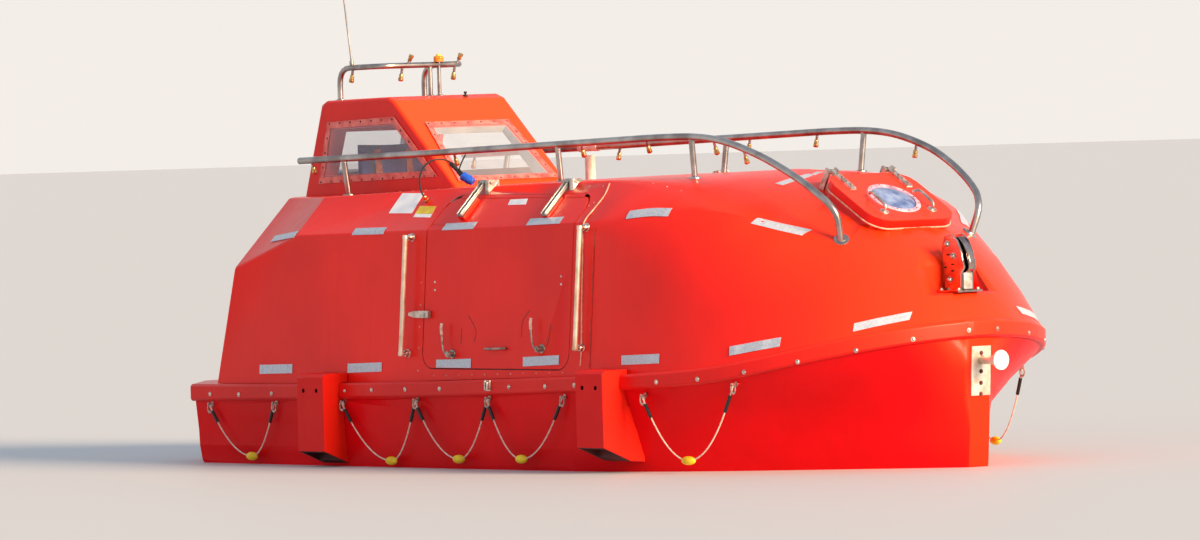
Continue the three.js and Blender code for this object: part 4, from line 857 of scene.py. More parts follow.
for word, side in SIDES.items():
    for end, x in zip(("aft", "fwd"), ARMS):
        flat = [slab("arm_bar", x - 0.0205, x + 0.0205, 0.018, 0.247, -0.011, 0.004, side)]
        flat += [slab("arm_edge", x + d - 0.0045, x + d + 0.0045, 0.014, 0.247, -0.002, 0.0135, side)
                 for d in (-0.0158, 0.0158)]
        flat.append(turned("arm_eye", [
            (0.0085, 0), (0.0155, 0), (0.0155, 0.041), (0.0085, 0.041), (0.0085, 0)],
            on_arm(x - 0.0205, 0, 0, side), on_arm(x, 0, 0, side), 24))
        arm = joined(flat, f"{word}_door_arm_{end}_bar", f"{word}_door", arm_steel, 30)
        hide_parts(f"{word}_door_arm_{end}")
        bolts = [(on_arm(x, d, 0.003, side), (on_arm(x, d, 1, side) - on_arm(x, d, 0, side)).normalized())
                 for d in (0.05, 0.13, 0.215)]
        fasteners(bolts, [(0, 0.009), (0.006, 0.009), (0.008, 0.006), (0.008, 0)],
                  f"{word}_door_arm_{end}_bolts", f"{word}_door", bolt_steel, 6)
        # Painted shade: a thin dark bar laid on the arm stands for its slot
        slot = slab("arm_slot", x - 0.006, x + 0.006, 0.07, 0.115, 0.002, 0.0048, side, 0.001)
        finish_piece(slot, f"{word}_door_arm_{end}_slot", f"{word}_door", rubber_and_slot_shade, 30)
        # Painted shade: two dark discs on top of the bracket stand for its slots
        slots = [(Vector((x + 0.044, side * y, DOOR_AXIS[1] + 0.014)), Vector((0, 0, 1)))
                 for y in (0.790, 0.822)]
        fasteners(slots, [(0, 0.0006), (0.0075, 0.0006), (0.008, 0), (0, 0)],
                  f"{word}_door_bracket_{end}_slots", "boat", rubber_and_slot_shade, 12)
        heads = [turned("pin_head", [(0, 0.009), (0.008, 0.009), (0.011, 0.006), (0.011, 0)],
                        on_arm(x + o, 0, 0, side), on_arm(x + o * 2, 0, 0, side), 6)
                 for o in (-0.044, 0.059)]
        joined(heads, f"{word}_door_pin_heads_{end}", "boat", cast_steel, 30)

# Rivets, sealant and labels
# Aluminium blind rivets hold the door frames and the roof's edge, and a cream bead of sealant
# runs down the panel joint ahead of each door. The labels are blank vinyl.
FRAME_RIVETS = [
    *[(-0.517, z) for z in (0.981, 0.859, 0.742, 0.626, 0.505)],
    *[(-0.376 + 0.111 * k, 0.479 + 0.0025 * k) for k in range(11)],
    (0.674, 1.484), (0.786, 1.483), (0.816, 1.399), (0.794, 1.383), (0.846, 1.382),
]
ROOF_EDGE = 0.772
ROOF_RIVETS = [-1.62 + 0.115 * k for k in range(27)]
BEAD = [(0.828, 1.497), (0.861, 1.438), (0.861, 1.371), (0.861, 1.294), (0.867, 1.178), (0.872, 1.03),
        (0.876, 0.888), (0.888, 0.624), (0.884, 0.540)]
RIDGE = (0.962, 0.500, 1.270)
WHITE_LABEL = [(-0.955, 1.353), (-0.974, 1.459), (-0.769, 1.458), (-0.743, 1.352)]
YELLOW_LABEL = [(-0.703, 1.332), (-0.716, 1.389), (-0.567, 1.388), (-0.546, 1.329)]
DOOR_LABEL = [(0.075, 1.391), (0.061, 1.419), (0.211, 1.423), (0.233, 1.393)]

# Blind rivets: aluminium with a film of red from the moulding round them
rivet_metal = patchy("aluminium_rivet", "#d89a92", 0.4, 0.6, ("#e4ada4", "#b87068", 50))
# Polysulphide sealant: a soft rose cream, smoothed with a finger
sealant = patchy("rose_sealant", "#dda28e", 0.55, 0.0, ("#e8b49c", "#cc8270", 35), 0.001)
# Painted shade: a darker line down the panel joint, for the shading where the panel steps
ridge_paint = patchy("painted_ridge_shade", "#b4181a", 0.45, 0.0, ("#c22020", "#9c1014", 30))
# Label vinyl, white and yellow: flat and clean
white_vinyl = patchy("white_label_vinyl", "#f6f6f8", 0.4, 0.0, ("#fafafa", "#e6e6ee", 14))
yellow_vinyl = patchy("yellow_label_vinyl", "#f0cf1c", 0.42, 0.0, ("#f6d828", "#dcb614", 16))


def label(skin, corners, side, name, body, material, lift=0.001):
    """A thin vinyl label on the surface, its corners given as x and z."""
    piece = sheet(4, 4)
    a, b, c, d = [Vector((x, 0, z)) for x, z in corners]
    for v in piece.data.vertices:
        u, w = v.co.x + 0.5, v.co.y + 0.5
        flat = a.lerp(d, u).lerp(b.lerp(c, u), w)
        spot, normal = on_side(skin, flat.x, flat.z, side)
        v.co = spot + normal * lift
    finish_piece(thickened(piece, lift * 0.8), name, body, material, 20)


RIVET = [(0, 0.003), (0.0032, 0.0025), (0.0048, 0.0), (0.0, 0.0)]
for word, side in SIDES.items():
    fasteners([on_side(canopy_skin, x, z, side) for x, z in FRAME_RIVETS], RIVET,
              f"{word}_frame_rivets", "boat", rivet_metal, 10)
    fasteners([on_top(canopy_skin, x, side * ROOF_EDGE) for x in ROOF_RIVETS], RIVET,
              f"{word}_roof_edge_rivets", "boat", rivet_metal, 8)
    line = smooth_points([Vector((x, on_side(canopy_skin, x, z, side)[0].y + side * 0.002, z))
                          for x, z in BEAD], 4)
    bead = tube(f"{word}_sealant_bead", line, 0.004)
    finish_piece(bead, f"{word}_sealant_bead", "boat", sealant, 60)
    # The painted shade line down the panel joint
    x, low, high = RIDGE
    rows = [on_side(canopy_skin, x, low + (high - low) * k / 6, side) for k in range(7)]
    strip(rows, 0.009, f"{word}_panel_ridge", "boat", ridge_paint)
    label(canopy_skin, WHITE_LABEL, side, f"{word}_white_label", "boat", white_vinyl)
    label(canopy_skin, YELLOW_LABEL, side, f"{word}_label_back", "boat", white_vinyl)
    a, b, c, d = [Vector(p) for p in YELLOW_LABEL]
    label(canopy_skin, [a.lerp(b, 0.3), b, c, d.lerp(c, 0.3)], side,
          f"{word}_yellow_label", "boat", yellow_vinyl, 0.0018)
    label(leaf_skins[word], DOOR_LABEL, side, f"{word}_door_label", f"{word}_door", white_vinyl)

# Reflective tape
# 50 mm silver retroreflective tape in 0.3 m lengths, cut from a roll and pressed on by hand.
# It is cool grey in daylight, and its cells are drawn at 12 mm, twice their size, to show.
TAPE_WIDTH = 0.050
CANOPY_TAPES = [
    [(-1.971, 1.217), (-1.675, 1.244)], [(-1.149, 1.256), (-0.868, 1.260)],
    [(1.164, 1.332), (1.307, 1.344), (1.433, 1.342)], [(1.889, 1.289), (2.124, 1.219)],
    [(-1.941, 0.502), (-1.643, 0.508)], [(-1.141, 0.514), (-0.837, 0.523)], [(1.225, 0.572), (1.513, 0.582)],
    [(1.981, 0.619), (2.261, 0.664)], [(2.571, 0.729), (2.726, 0.780)],
]
DOOR_TAPES = [
    [(-0.353, 1.278), (-0.079, 1.285)], [(0.373, 1.300), (0.654, 1.309)],
    [(-0.356, 0.540), (-0.053, 0.548)], [(0.396, 0.559), (0.702, 0.571)],
]
ROOF_TAPE = [(1.703, 0.377), (1.644, 0.041)]
tape_silver, tree, shader, place = plain_material("silver_reflective_tape", "#bcc5d2", 0.34, 0.2)
cells = add_node(tree, "ShaderNodeTexVoronoi", [("Vector", place.outputs["Object"])], Scale=85.0)
shade = add_node(tree, "ShaderNodeValToRGB", [("Fac", cells.outputs["Distance"])])
shade.color_ramp.elements[0].color = colour("#c8d0dc")
shade.color_ramp.elements[1].color = colour("#a8b2c2")
tree.links.new(shade.outputs["Color"], shader.inputs["Base Color"])
relief(tree, shader, cells.outputs["Distance"], 0.0008)


def tape(skin, ends, side, name, body, low=0.0):
    """A length of tape on the side, along places given as x and z."""
    line = smooth_points([(x, 0, z) for x, z in ends], 24 // (len(ends) - 1))
    last = len(line) - 1
    facing = sum((on_side(skin, p.x, p.z, side)[1] for p in line), Vector()).normalized()
    piece = sheet(4, last)
    for v in piece.data.vertices:
        row = round((v.co.y + 0.5) * last)
        ahead = (line[min(row + 1, last)] - line[max(row - 1, 0)]).normalized()
        across = facing.cross(ahead).normalized() * v.co.x * TAPE_WIDTH
        flat = line[row] + Vector((across.x, 0, across.z))
        spot, normal = on_side(skin, flat.x, max(flat.z, low), side)
        v.co = spot + normal * 0.0022
    finish_piece(thickened(piece, 0.001), name, body, tape_silver, 20)


for word, side in SIDES.items():
    for i, ends in enumerate(CANOPY_TAPES):
        tape(canopy_skin, ends, side, f"{word}_canopy_tape_{i + 1}", "boat")
    for i, ends in enumerate(DOOR_TAPES):
        tape(leaf_skins[word], ends, side, f"{word}_door_tape_{i + 1}", f"{word}_door", DOOR[2] + 0.009)
    laid = [on_top(canopy_skin, p.x, side * p.y) for p in smooth_points([(x, y, 0) for x, y in ROOF_TAPE], 8)]
    strip(laid, TAPE_WIDTH, f"{word}_roof_tape", "boat", tape_silver)

# Conning tower
# Moulded with rounded edges and bolted on the roof over the helmsman's well. It stands in
# the sun, and its faces toward it get the strongest painted sunlit orange.
tower_red = gelcoat("tower_red_gelcoat", "#e8180e", "#d4120c", 0.36, "#fa4a12")
tower = moulded("conning_tower", "tower_moulding", tower_red, smooth=40)
repaint(tower, flow_coat, behind_the_wall(tower, 1.6))
tower_skin = skin_of(tower)
post = turned("tower_post", [
    (0, 0.027), (0.006, 0.027), (0.009, 0.024), (0.009, 0.018), (0.006, 0.015), (0.006, 0.008),
    (0.013, 0.006), (0.013, -0.004), (0, -0.004)], on_top(tower_skin, -1.60, 0.139)[0], (-1.60, 0.139, 4), 16)
finish_piece(post, "tower_top_post", "boat", rubber_and_slot_shade, 35)

# Tower windows
# 6 mm clear acrylic sheets laid over the openings, riveted and sealed round, hazed by the
# weather. Where they lap the red border they look pink.
SIDE_PANE = [(-2.254, 1.510), (-2.160, 1.850), (-1.556, 1.872), (-1.182, 1.540)]
FRONT_PANE = [(-0.350, 0.104), (0.350, 0.104), (0.292, 0.588), (-0.292, 0.588)]
AFT_PANE = [(-0.270, 0.150), (0.270, 0.150), (0.250, 0.470), (-0.250, 0.470)]
FRONT_FOOT, FRONT_SLOPE = (-0.985, 1.440), math.atan2(0.522, 0.580)
AFT_FOOT, AFT_SLOPE = (-2.416, 1.400), math.atan2(0.550, 0.187)
# Acrylic sheet: clear, with a milky bloom
acrylic = patchy("hazed_acrylic", "#dbe4ee", 0.1, 0.0, ("#e4ebf3", "#c6d2e0", 3), IOR=1.49, Alpha=0.15)
# Rivets that salt has browned
dark_rivet = patchy("weathered_rivet", "#6a2c2e", 0.5, 0.3, ("#824040", "#4a1c1e", 50))
# Bedding compound under the lapped sheet: pink through the acrylic
bedding = patchy("window_bedding", "#e2685e", 0.4, 0.0, ("#ea7f74", "#d4504c", 20), 0.0006)


def on_slope(foot, slope, turn, across, up, out):
    """A point on the tower's front or aft face: across it, up it, and out from it."""
    return Vector((foot[0] + turn * (-math.cos(slope) * up + math.sin(slope) * out), across,
                   foot[1] + math.sin(slope) * up + math.cos(slope) * out))


def round_the_edge(corners, inset, spacing):
    """Places along a pane's edge, that far inside it."""
    middle = sum(corners, Vector()) / len(corners)
    corners = [c + (middle - c).normalized() * inset * 1.35 for c in corners]
    places = []
    for a, b in zip(corners, [*corners[1:], corners[0]]):
        count = max(2, round((b - a).length / spacing))
        places += [a.lerp(b, k / count) for k in range(count)]
    return places


PANES = {
    "starboard": ([Vector((x, -0.4065, z)) for x, z in SIDE_PANE], Vector((0, -1, 0))),
    "port": ([Vector((x, 0.4065, z)) for x, z in SIDE_PANE], Vector((0, 1, 0))),
    "front": ([on_slope(FRONT_FOOT, FRONT_SLOPE, 1, y, up, 0.0065) for y, up in FRONT_PANE],
              Vector((math.sin(FRONT_SLOPE), 0, math.cos(FRONT_SLOPE)))),
    "aft": ([on_slope(AFT_FOOT, AFT_SLOPE, -1, y, up, 0.0065) for y, up in AFT_PANE],
            Vector((-math.sin(AFT_SLOPE), 0, math.cos(AFT_SLOPE)))),
}
for word, (corners, facing) in PANES.items():
    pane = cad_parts[f"tower_window_{word}"]
    pane.data.materials.clear()
    pane.data.materials.append(acrylic)
    fasteners([(p, facing) for p in round_the_edge(corners, 0.014, 0.095)],
              [(0, 0.004), (0.005, 0.003), (0.0075, 0), (0, 0)],
              f"{word}_window_rivets", "boat", dark_rivet, 10)
    rim = [c + facing * 0.0003 for c in corners]
    bpy.ops.object.select_all(action="DESELECT")
    bpy.ops.mesh.primitive_plane_add(size=1)
    lap = bpy.context.object
    for i, corner in zip((0, 1, 3, 2), rim):
        lap.data.vertices[i].co = corner
    bpy.ops.object.mode_set(mode="EDIT")
    bpy.ops.mesh.select_all(action="SELECT")
    bpy.ops.mesh.inset(thickness=0.034, depth=0)
    bpy.ops.mesh.delete(type="FACE")
    bpy.ops.object.mode_set(mode="OBJECT")
    thick = lap.modifiers.new("thickness", "SOLIDIFY")
    thick.thickness, thick.offset = 0.0008, 0
    bpy.ops.object.modifier_apply(modifier=thick.name)
    finish_piece(lap, f"{word}_window_lap", "boat", bedding, 20)
    edge = tube(f"{word}_window_bead", [*rim, rim[0]], 0.003)
    finish_piece(edge, f"{word}_window_bead", "boat", bedding, 60)

# Fender blocks
# Heavy glass fibre boxes bolted over the strake, which slide down the ship's side, and whose
# gelcoat is worn a duller red.
fender_red = gelcoat("fender_red_gelcoat", "#e41012", "#cc0c0c", 0.4, "#ee2410", 0.15)
# Painted shade: the inside of a hollow block and every face turned down are a near-black red, with patches of
# dirt
hollow_paint = patchy("painted_shade_hollow_red", "#46080c", 0.6, 0.0, ("#560c10", "#2c0608", 12))
for word in SIDES:
    for end in ("aft", "fwd"):
        block = moulded(f"{word}_fender_block_{end}", f"{word}_fender_{end}", fender_red,
                        soften=0.004)
        xs, zs = [v.co.x for v in block.data.vertices], [v.co.z for v in block.data.vertices]
        # The painted shade goes on the faces turned down and on those inside the hollow
        repaint(block, hollow_paint, lambda m, n: n.z < -0.5 or (
            min(xs) + 0.016 < m.x < max(xs) - 0.016 and 1.143 < abs(m.y) < 1.272 and m.z < max(zs) - 0.05))

# Forward hatch
# A thick lid on two steel hinges, with a round acrylic light in the middle, two lifting
# handles, and a cream gasket under its edge.
LID_TOP = 0.060
LID_HALF = (0.250, 0.290)
LIGHT_AT = 0.020
LIGHT_RIM = 0.135
HINGE_BOLTS = (-0.115, -0.155, -0.195, -0.235)
lid = moulded("forward_hatch_lid", "hatch_lid_moulding", canopy_red, "forward_hatch",
              soften=0.004, shortest=0.03)
cut_off(lid, lambda m, n: on_hatch(m)[2] > 0.0625 and on_hatch(m)[0] > -0.05)
repaint(lid, cast_steel, lambda m, n: on_hatch(m)[2] > 0.0605 or on_hatch(m)[0] < -0.2505)
fittings = []
for y in (-0.165, 0.165):
    inner = y * 0.9
    fittings.append(round_bar("lid_handle", [
        from_hatch(0.150, y, 0.056), from_hatch(0.150, y, 0.096), from_hatch(0.012, y, 0.103),
        from_hatch(-0.010, inner, 0.078)], 0.0085, 0.035))
    fittings.append(turned("handle_foot", [
        (0, 0.008), (0.012, 0.008), (0.013, 0.005), (0.024, 0.004), (0.026, 0), (0, 0)],
        from_hatch(0.150, y, LID_TOP), from_hatch(0.150, y, 1), 20))
joined(fittings, "hatch_handles", "forward_hatch", cast_steel)
straight_up = (from_hatch(0, 0, 1) - from_hatch(0, 0, 0)).normalized()
fasteners([(from_hatch(a, y, 0.072), straight_up) for y in (-0.195, 0.195) for a in HINGE_BOLTS],
          [(0, 0.008), (0.0065, 0.008), (0.008, 0.006), (0.008, 0)],
          "hatch_hinge_bolts", "forward_hatch", zinc, 6)
# The light's rim: acrylic that lets the red below through
light_rim = patchy("lilac_light_rim", "#c9a6bc", 0.35, 0.0, ("#d9bccd", "#a87e98", 25))
rim = turned("hatch_light_rim", [
    (0.122, 0.0), (0.124, 0.005), (0.145, 0.005), (0.149, 0.001), (0.149, -0.001), (0.122, -0.001), (0.122, 0)],
    from_hatch(LIGHT_AT, 0, LID_TOP), from_hatch(LIGHT_AT, 0, 1), 48)
finish_piece(rim, "hatch_light_rim", "forward_hatch", light_rim, 40)
fasteners([(from_hatch(LIGHT_AT + LIGHT_RIM * math.cos(a), LIGHT_RIM * math.sin(a), LID_TOP + 0.005),
            straight_up)
           for a in [k * math.pi / 6 for k in range(12)]],
          RIVET, "hatch_light_rivets", "forward_hatch", dark_rivet, 8)
# The light itself: blue tinted acrylic, very smooth
port_light = patchy("tinted_acrylic_light", "#5c74a8", 0.1, 0.0,
                    ("#8c9fcb", "#3f5790", 14), IOR=1.49, Coat_Weight=0.5)
glass = turned("hatch_light_dome", [
    (0, 0.072), (0.05, 0.0705), (0.09, 0.067), (0.115, 0.0625), (0.1212, 0.060), (0.1212, 0.024), (0, 0.024)],
    from_hatch(LIGHT_AT, 0, 0), from_hatch(LIGHT_AT, 0, 1), 48)
finish_piece(glass, "hatch_light_dome", "forward_hatch", port_light, 30)
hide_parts("forward_hatch_porthole")
edge = rounded_outline(-LID_HALF[0], LID_HALF[0], -LID_HALF[1], LID_HALF[1], 0.110)
gasket = tube("hatch_gasket", [from_hatch(a, y, 0.0105) for a, y in [*edge, edge[0]]], 0.0045)
finish_piece(gasket, "hatch_gasket", "boat", sealant, 60)

# Handrails
# 38 mm stainless tube, bent and welded, which also carries water to brass spray nozzles.
# Weathered: grey on top, with the red of the roof mirrored below.
HANDRAIL = [
    (-2.196, 0.580, 1.641), (-1.6, 0.583, 1.656), (-1.000, 0.586, 1.672), (-0.35, 0.590, 1.692),
    (0.300, 0.594, 1.712), (0.65, 0.597, 1.723), (1.000, 0.600, 1.733), (1.300, 0.602, 1.732),
    (1.541, 0.604, 1.704), (1.787, 0.600, 1.637), (1.970, 0.582, 1.561), (2.110, 0.560, 1.487),
    (2.200, 0.543, 1.426), (2.262, 0.520, 1.374), (2.298, 0.490, 1.300), (2.278, 0.450, 1.170),
]
RAIL_R = 0.019
POSTS = ((-1.792, 0.038), (0.120, 0.024), (1.262, 0.024))
SPRAYS = {"starboard": (-2.090, -0.796, 0.320, 0.881, 1.447, 1.690),
          "port": (-2.090, -0.796, 0.320, 0.881, 1.690)}
# Satin tube: even grey, clouded by salt
tube_steel = patchy("satin_stainless_tube", "#a8a3a2", 0.3, 1.0, ("#bab5b2", "#8b8280", 9), 0.0005)


def rail_at(x, side):
    """The handrail's middle at a place along the boat."""
    i = next(k for k in range(1, len(HANDRAIL)) if HANDRAIL[k][0] >= x)
    a, b = Vector(HANDRAIL[i - 1]), Vector(HANDRAIL[i])
    spot = a.lerp(b, (x - a.x) / (b.x - a.x))
    return Vector((x, side * spot.y, spot.z))


FAN = [(0, 0.016), (0.0055, 0.017), (0.0085, 0.036), (0.0105, 0.0375), (0.0125, 0.035), (0.0125, 0.024),
       (0.010, 0.017), (0.0105, 0.004), (0.008, 0), (0, 0)]


def spray_nozzle(top, lean):
    """A steel stub under a tube with a brass fan nozzle, as two lists of meshes."""
    knee = top + Vector((-0.010, lean * 0.020, -0.040))
    tip = knee + Vector((-0.010, lean * 0.022, -0.040))
    return ([round_bar("stub", [top, knee, knee.lerp(tip, 0.3)], 0.0075, 0.01, 3)],
            [turned("fan", [(r * 1.15, z * 1.1) for r, z in FAN], knee, tip, 14)])


for word, side in SIDES.items():
    path = smooth_points([(x, side * y, z) for x, y, z in HANDRAIL], 5)
    tubes = [tube("rail", path, RAIL_R, 6)]
    tubes.append(turned("end_cap", [
        (0, 0.006), (0.012, 0.005), (0.018, 0.001), (0.019, -0.004), (0, -0.004)],
        path[0], path[0] * 2 - path[1], 20))
    fans = []
    for x, lean in POSTS:
        top = rail_at(x, side)
        foot, _ = on_top(canopy_skin, x - 0.008, side * (abs(top.y) - lean))
        tubes.append(round_bar("post", [top, foot - Vector((0, 0, 0.006))], 0.016, sides=5))
        tubes.append(turned("post_foot", [
            (0, 0.01), (0.018, 0.01), (0.022, 0.006), (0.034, 0.004), (0.036, -0.004), (0, -0.004)],
            foot, foot + Vector((0, 0, 1)), 24))
    for x in SPRAYS[word]:
        stub, fan = spray_nozzle(rail_at(x, side), 1 if side < 0 else 0)
        tubes += stub
        fans += fan
    low, high = Vector((2.271, side * 0.440, 1.174)), Vector((2.284, side * 0.451, 1.193))
    flat = (high - low).normalized()
    tubes.append(turned("end_flange", [
        (0, 0.017), (0.024, 0.017), (0.027, 0.012), (0.040, 0.011), (0.042, 0.008), (0.042, -0.004),
        (0, -0.004)], low + flat * 0.004, high, 32))
    for k in range(4):
        turn = Matrix.Rotation(math.radians(45 + 90 * k), 3, flat)
        spot = low + flat * 0.014 + turn @ flat.orthogonal().normalized() * 0.034
        tubes.append(turned("flange_bolt", [
            (0, 0.004), (0.004, 0.004), (0.005, 0.002), (0.005, -0.002), (0, -0.002)], spot, spot + flat, 6))
    rail = joined(tubes, f"{word}_handrail_tubes", "boat", tube_steel)
    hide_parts(f"{word}_handrail")
    joined(fans, f"{word}_handrail_nozzles", "boat", brass)

# The spray main rises through the roof on the port side and feeds its rail at a tee
riser_top = Vector((-1.068, 0.586, 1.672))
foot, _ = on_top(canopy_skin, riser_top.x, 0.590)
# Painted pipe: cream enamel, yellowed
cream_pipe = patchy("cream_painted_pipe", "#e6d8cc", 0.4, 0.0, ("#eee2d7", "#ccb8a8", 16), 0.0005)
pieces = [
    turned("riser", [
        (0, -0.004), (0.044, -0.004), (0.044, 0.006), (0.029, 0.01), (0.028, 0.15), (0.0255, 0.158),
        (0, 0.158)], foot, riser_top, 28),
    turned("tee", [
        (0, -0.082), (0.024, -0.082), (0.026, -0.078), (0.026, -0.052), (0.024, -0.048), (0.024, 0.048),
        (0.026, 0.052), (0.026, 0.078), (0.024, 0.082), (0, 0.082)], riser_top, (0, 0.5934, 1.7035), 28)]
joined(pieces, "spray_riser", "boat", cream_pipe)

# Tower rail, beacon and antenna
# A U of tube on the tower's top carries two more nozzles, an amber beacon on its pole, and a
# grey glass fibre whip antenna on a ferrule.
RAIL_AFT, RAIL_FWD, RAIL_HALF, RAIL_HIGH = -2.174, -1.800, 0.298, 2.150
LEG, POLE, POLE_TOP = (-1.800, 0.050), (-1.796, 0.110), 2.172
TOWER_TOP = 1.978
BEACON_FOOT = (*POLE, 2.1745)
u_tube = [round_bar("u_rail", [
    (RAIL_AFT, -RAIL_HALF, TOWER_TOP - 0.012), (RAIL_AFT, -RAIL_HALF, RAIL_HIGH),
    (RAIL_FWD, -RAIL_HALF, RAIL_HIGH + 0.006), (RAIL_FWD, RAIL_HALF, RAIL_HIGH + 0.006),
    (RAIL_AFT, RAIL_HALF, RAIL_HIGH), (RAIL_AFT, RAIL_HALF, TOWER_TOP - 0.012)], 0.016, 0.095)]
u_tube.append(round_bar("leg", [(*LEG, TOWER_TOP - 0.006), (*LEG, RAIL_HIGH)], 0.013))
u_tube.append(round_bar("pole", [(*POLE, TOWER_TOP - 0.006), (*POLE, POLE_TOP)], 0.011))
for x, y in ((RAIL_AFT, -RAIL_HALF), (RAIL_AFT, RAIL_HALF), LEG, POLE):
    foot, facing = on_top(tower_skin, x, y)
    u_tube.append(turned("foot", [(0, 0.008), (0.017, 0.008), (0.02, 0.005), (0.03, 0.003), (0.031, -0.003),
                                  (0, -0.003)], foot, foot + facing, 20))
tips = []
for y in (-0.110, 0.240):
    base, top = Vector((RAIL_FWD, y, RAIL_HIGH)), Vector((RAIL_FWD + 0.020, y + 0.020, RAIL_HIGH + 0.066))
    u_tube.append(round_bar("up_stub", [base, base.lerp(top, 0.5)], 0.0085))
    tips.append(turned("up_fan", [(r * 1.15, z) for r, z in FAN], base.lerp(top, 0.45), top, 14))
for x, y in ((RAIL_AFT + 0.123, -RAIL_HALF), (RAIL_FWD, -0.145), (RAIL_FWD, 0.227)):
    stub, fan = spray_nozzle(Vector((x, y, RAIL_HIGH)), 0)
    u_tube += stub
    tips += fan
rail = joined(u_tube, "tower_rail_tubes", "boat", tube_steel)
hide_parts("tower_rail")
joined(tips, "tower_rail_nozzles", "boat", brass)

# Lens of the beacon: amber polycarbonate, clear gloss
amber = patchy("amber_beacon_lens", "#f08418", 0.18, 0.0, ("#f89a2c", "#cc600c", 20), IOR=1.49)
lens = turned("beacon_lens", [
    (0, 0.0300), (0.020, 0.0300), (0.0255, 0.0275), (0.0280, 0.022), (0.0285, 0.016), (0.0275, 0.014),
    (0.0285, 0.012), (0.0275, 0.010), (0.0285, 0.008), (0.0285, 0.002), (0.026, -0.002), (0, -0.002)],
    BEACON_FOOT, (*POLE, 3), 28)
finish_piece(lens, "beacon_lens", "boat", amber, 50)
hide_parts("beacon")
cap = turned("beacon_cap", [(0, 0.041), (0.008, 0.0405), (0.0125, 0.037), (0.0135, 0.0302), (0, 0.0302)],
             BEACON_FOOT, (*POLE, 3), 20)
finish_piece(cap, "beacon_cap", "boat", float_skin, 40)
# Whip antenna: grey glass fibre, weathered matt
whip_grey = patchy("grey_antenna_fibre", "#96979c", 0.4, 0.0, ("#a6a7ab", "#7c7d83", 12))
WHIP_FOOT, WHIP_TIP = Vector((-2.062, -0.298, 2.186)), Vector((-2.200, -0.298, 3.070))
whip = turned("antenna_whip", [
    (0, 0.8945), (0.0022, 0.8935), (0.003, 0.87), (0.0042, 0.45), (0.0062, 0.06), (0.007, 0.0), (0.0, 0.0)],
    WHIP_FOOT, WHIP_TIP, 14)
finish_piece(whip, "antenna_whip", "boat", whip_grey, 40)
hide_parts("antenna")
ferrule = turned("antenna_ferrule", [
    (0, 0.026), (0.008, 0.026), (0.010, 0.02), (0.0125, 0.018), (0.0125, 0.002), (0.011, 0), (0.011, -0.014),
    (0, -0.014)], (WHIP_FOOT.x, WHIP_FOOT.y, 2.170), (WHIP_FOOT.x, WHIP_FOOT.y, 3), 20)
finish_piece(ferrule, "antenna_ferrule", "boat", worn_steel, 30)

# Grab rails
# Polished stainless tubes beside the doors, each on two pegs with a round foot on the panel.
# Their cream colour is painted, and stands for the sky reflected in them.
GRABS = {"aft": (-0.610, 0.590, 1.233), "fwd": (0.890, 0.628, 1.279)}
grab_steel = patchy("polished_grab_rail", "#ead6c0", 0.3, 0.55, ("#f0dfcb", "#c9ad94", 12), 0.0004)
for word, side in SIDES.items():
    for end, (x, low, high) in GRABS.items():
        ends = [Vector((x, side * (panel(z) + 0.05), z)) for z in (low, high)]
        parts = [round_bar("grab_bar", ends, 0.0135, sides=6)]
        for z, tip in zip((low + 0.008, high - 0.008), ends):
            away = (tip - (ends[0] + ends[1]) / 2).normalized()
            parts.append(turned("bar_cap", [(0, 0.006), (0.013, 0.005), (0.0155, 0.001), (0.0155, -0.016),
                                            (0.013, -0.018), (0, -0.018)], tip, tip + away, 20))
        rail = joined(parts, f"{word}_grab_rail_{end}_bar", "boat", grab_steel)
        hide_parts(f"{word}_grab_rail_{end}")
        pegs = []
        for z in (low + 0.008, high - 0.008):
            pegs.append(turned("peg", [
                (0, 0.05), (0.011, 0.05), (0.011, 0.026), (0.0165, 0.024), (0.0185, 0.018), (0.0185, 0.006),
                (0.023, 0.004), (0.024, -0.003), (0, -0.003)],
                (x, side * panel(z), z), (x, side * (panel(z) + 1), z), 20))
        joined(pegs, f"{word}_grab_rail_{end}_pegs", "boat", bolt_steel)

# Stem plate and towing pin
# A stainless plate bolted down the stem, with the pin that the painter is made fast to and a
# white nylon disc on its end.
STEM_BOLTS = (0.574, 0.478, 0.418, 0.361)
PIN_Z = 0.538
STEM_RAKE = 0.0625


def stem(z):
    """How far forward the stem is at a height."""
    return 2.803 + STEM_RAKE * z


# Satin stainless plate: pale, with a brown tinge from the sea.
plate_steel = patchy("satin_stem_steel", "#e6ddd0", 0.42, 0.7, ("#efe7dc", "#c4b5a6", 18), 0.0005)
plate = moulded("stem_plate_with_towing_pin", "stem_plate", plate_steel, soften=0.0025)
# Nylon disc: white and waxy
nylon = patchy("white_nylon_disc", "#f1ebe6", 0.4, 0.0, ("#f6f2ee", "#dcd3cc", 18))
repaint(plate, nylon, lambda m, n: m.x > stem(PIN_Z) + 0.157)
ahead = Vector((1, 0, -STEM_RAKE)).normalized()
fasteners([(Vector((stem(z) + 0.011, -0.002, z)), ahead) for z in STEM_BOLTS],
          [(0, 0.009), (0.007, 0.009), (0.0085, 0.007), (0.0085, 0.002), (0.013, 0.0015), (0.013, 0), (0, 0)],
          "stem_plate_bolts", "boat", dark_rivet, 6)

# Release hooks
# Polished cast cheeks either side of the hook, held by domed cross bolts, on a foot bolted
# down in its niche. Their flat sides mirror the red round them.
HOOKS = {"forward": (2.692, 0.8903, 1), "aft": (-2.500, 0.8803, -1)}
CROSS_BOLTS = ((-0.040, 0.250), (0.004, 0.188), (-0.024, 0.066))
SLOTS = ((-0.034, 0.196), (0.000, 0.146), (0.000, 0.112), (-0.060, 0.130))
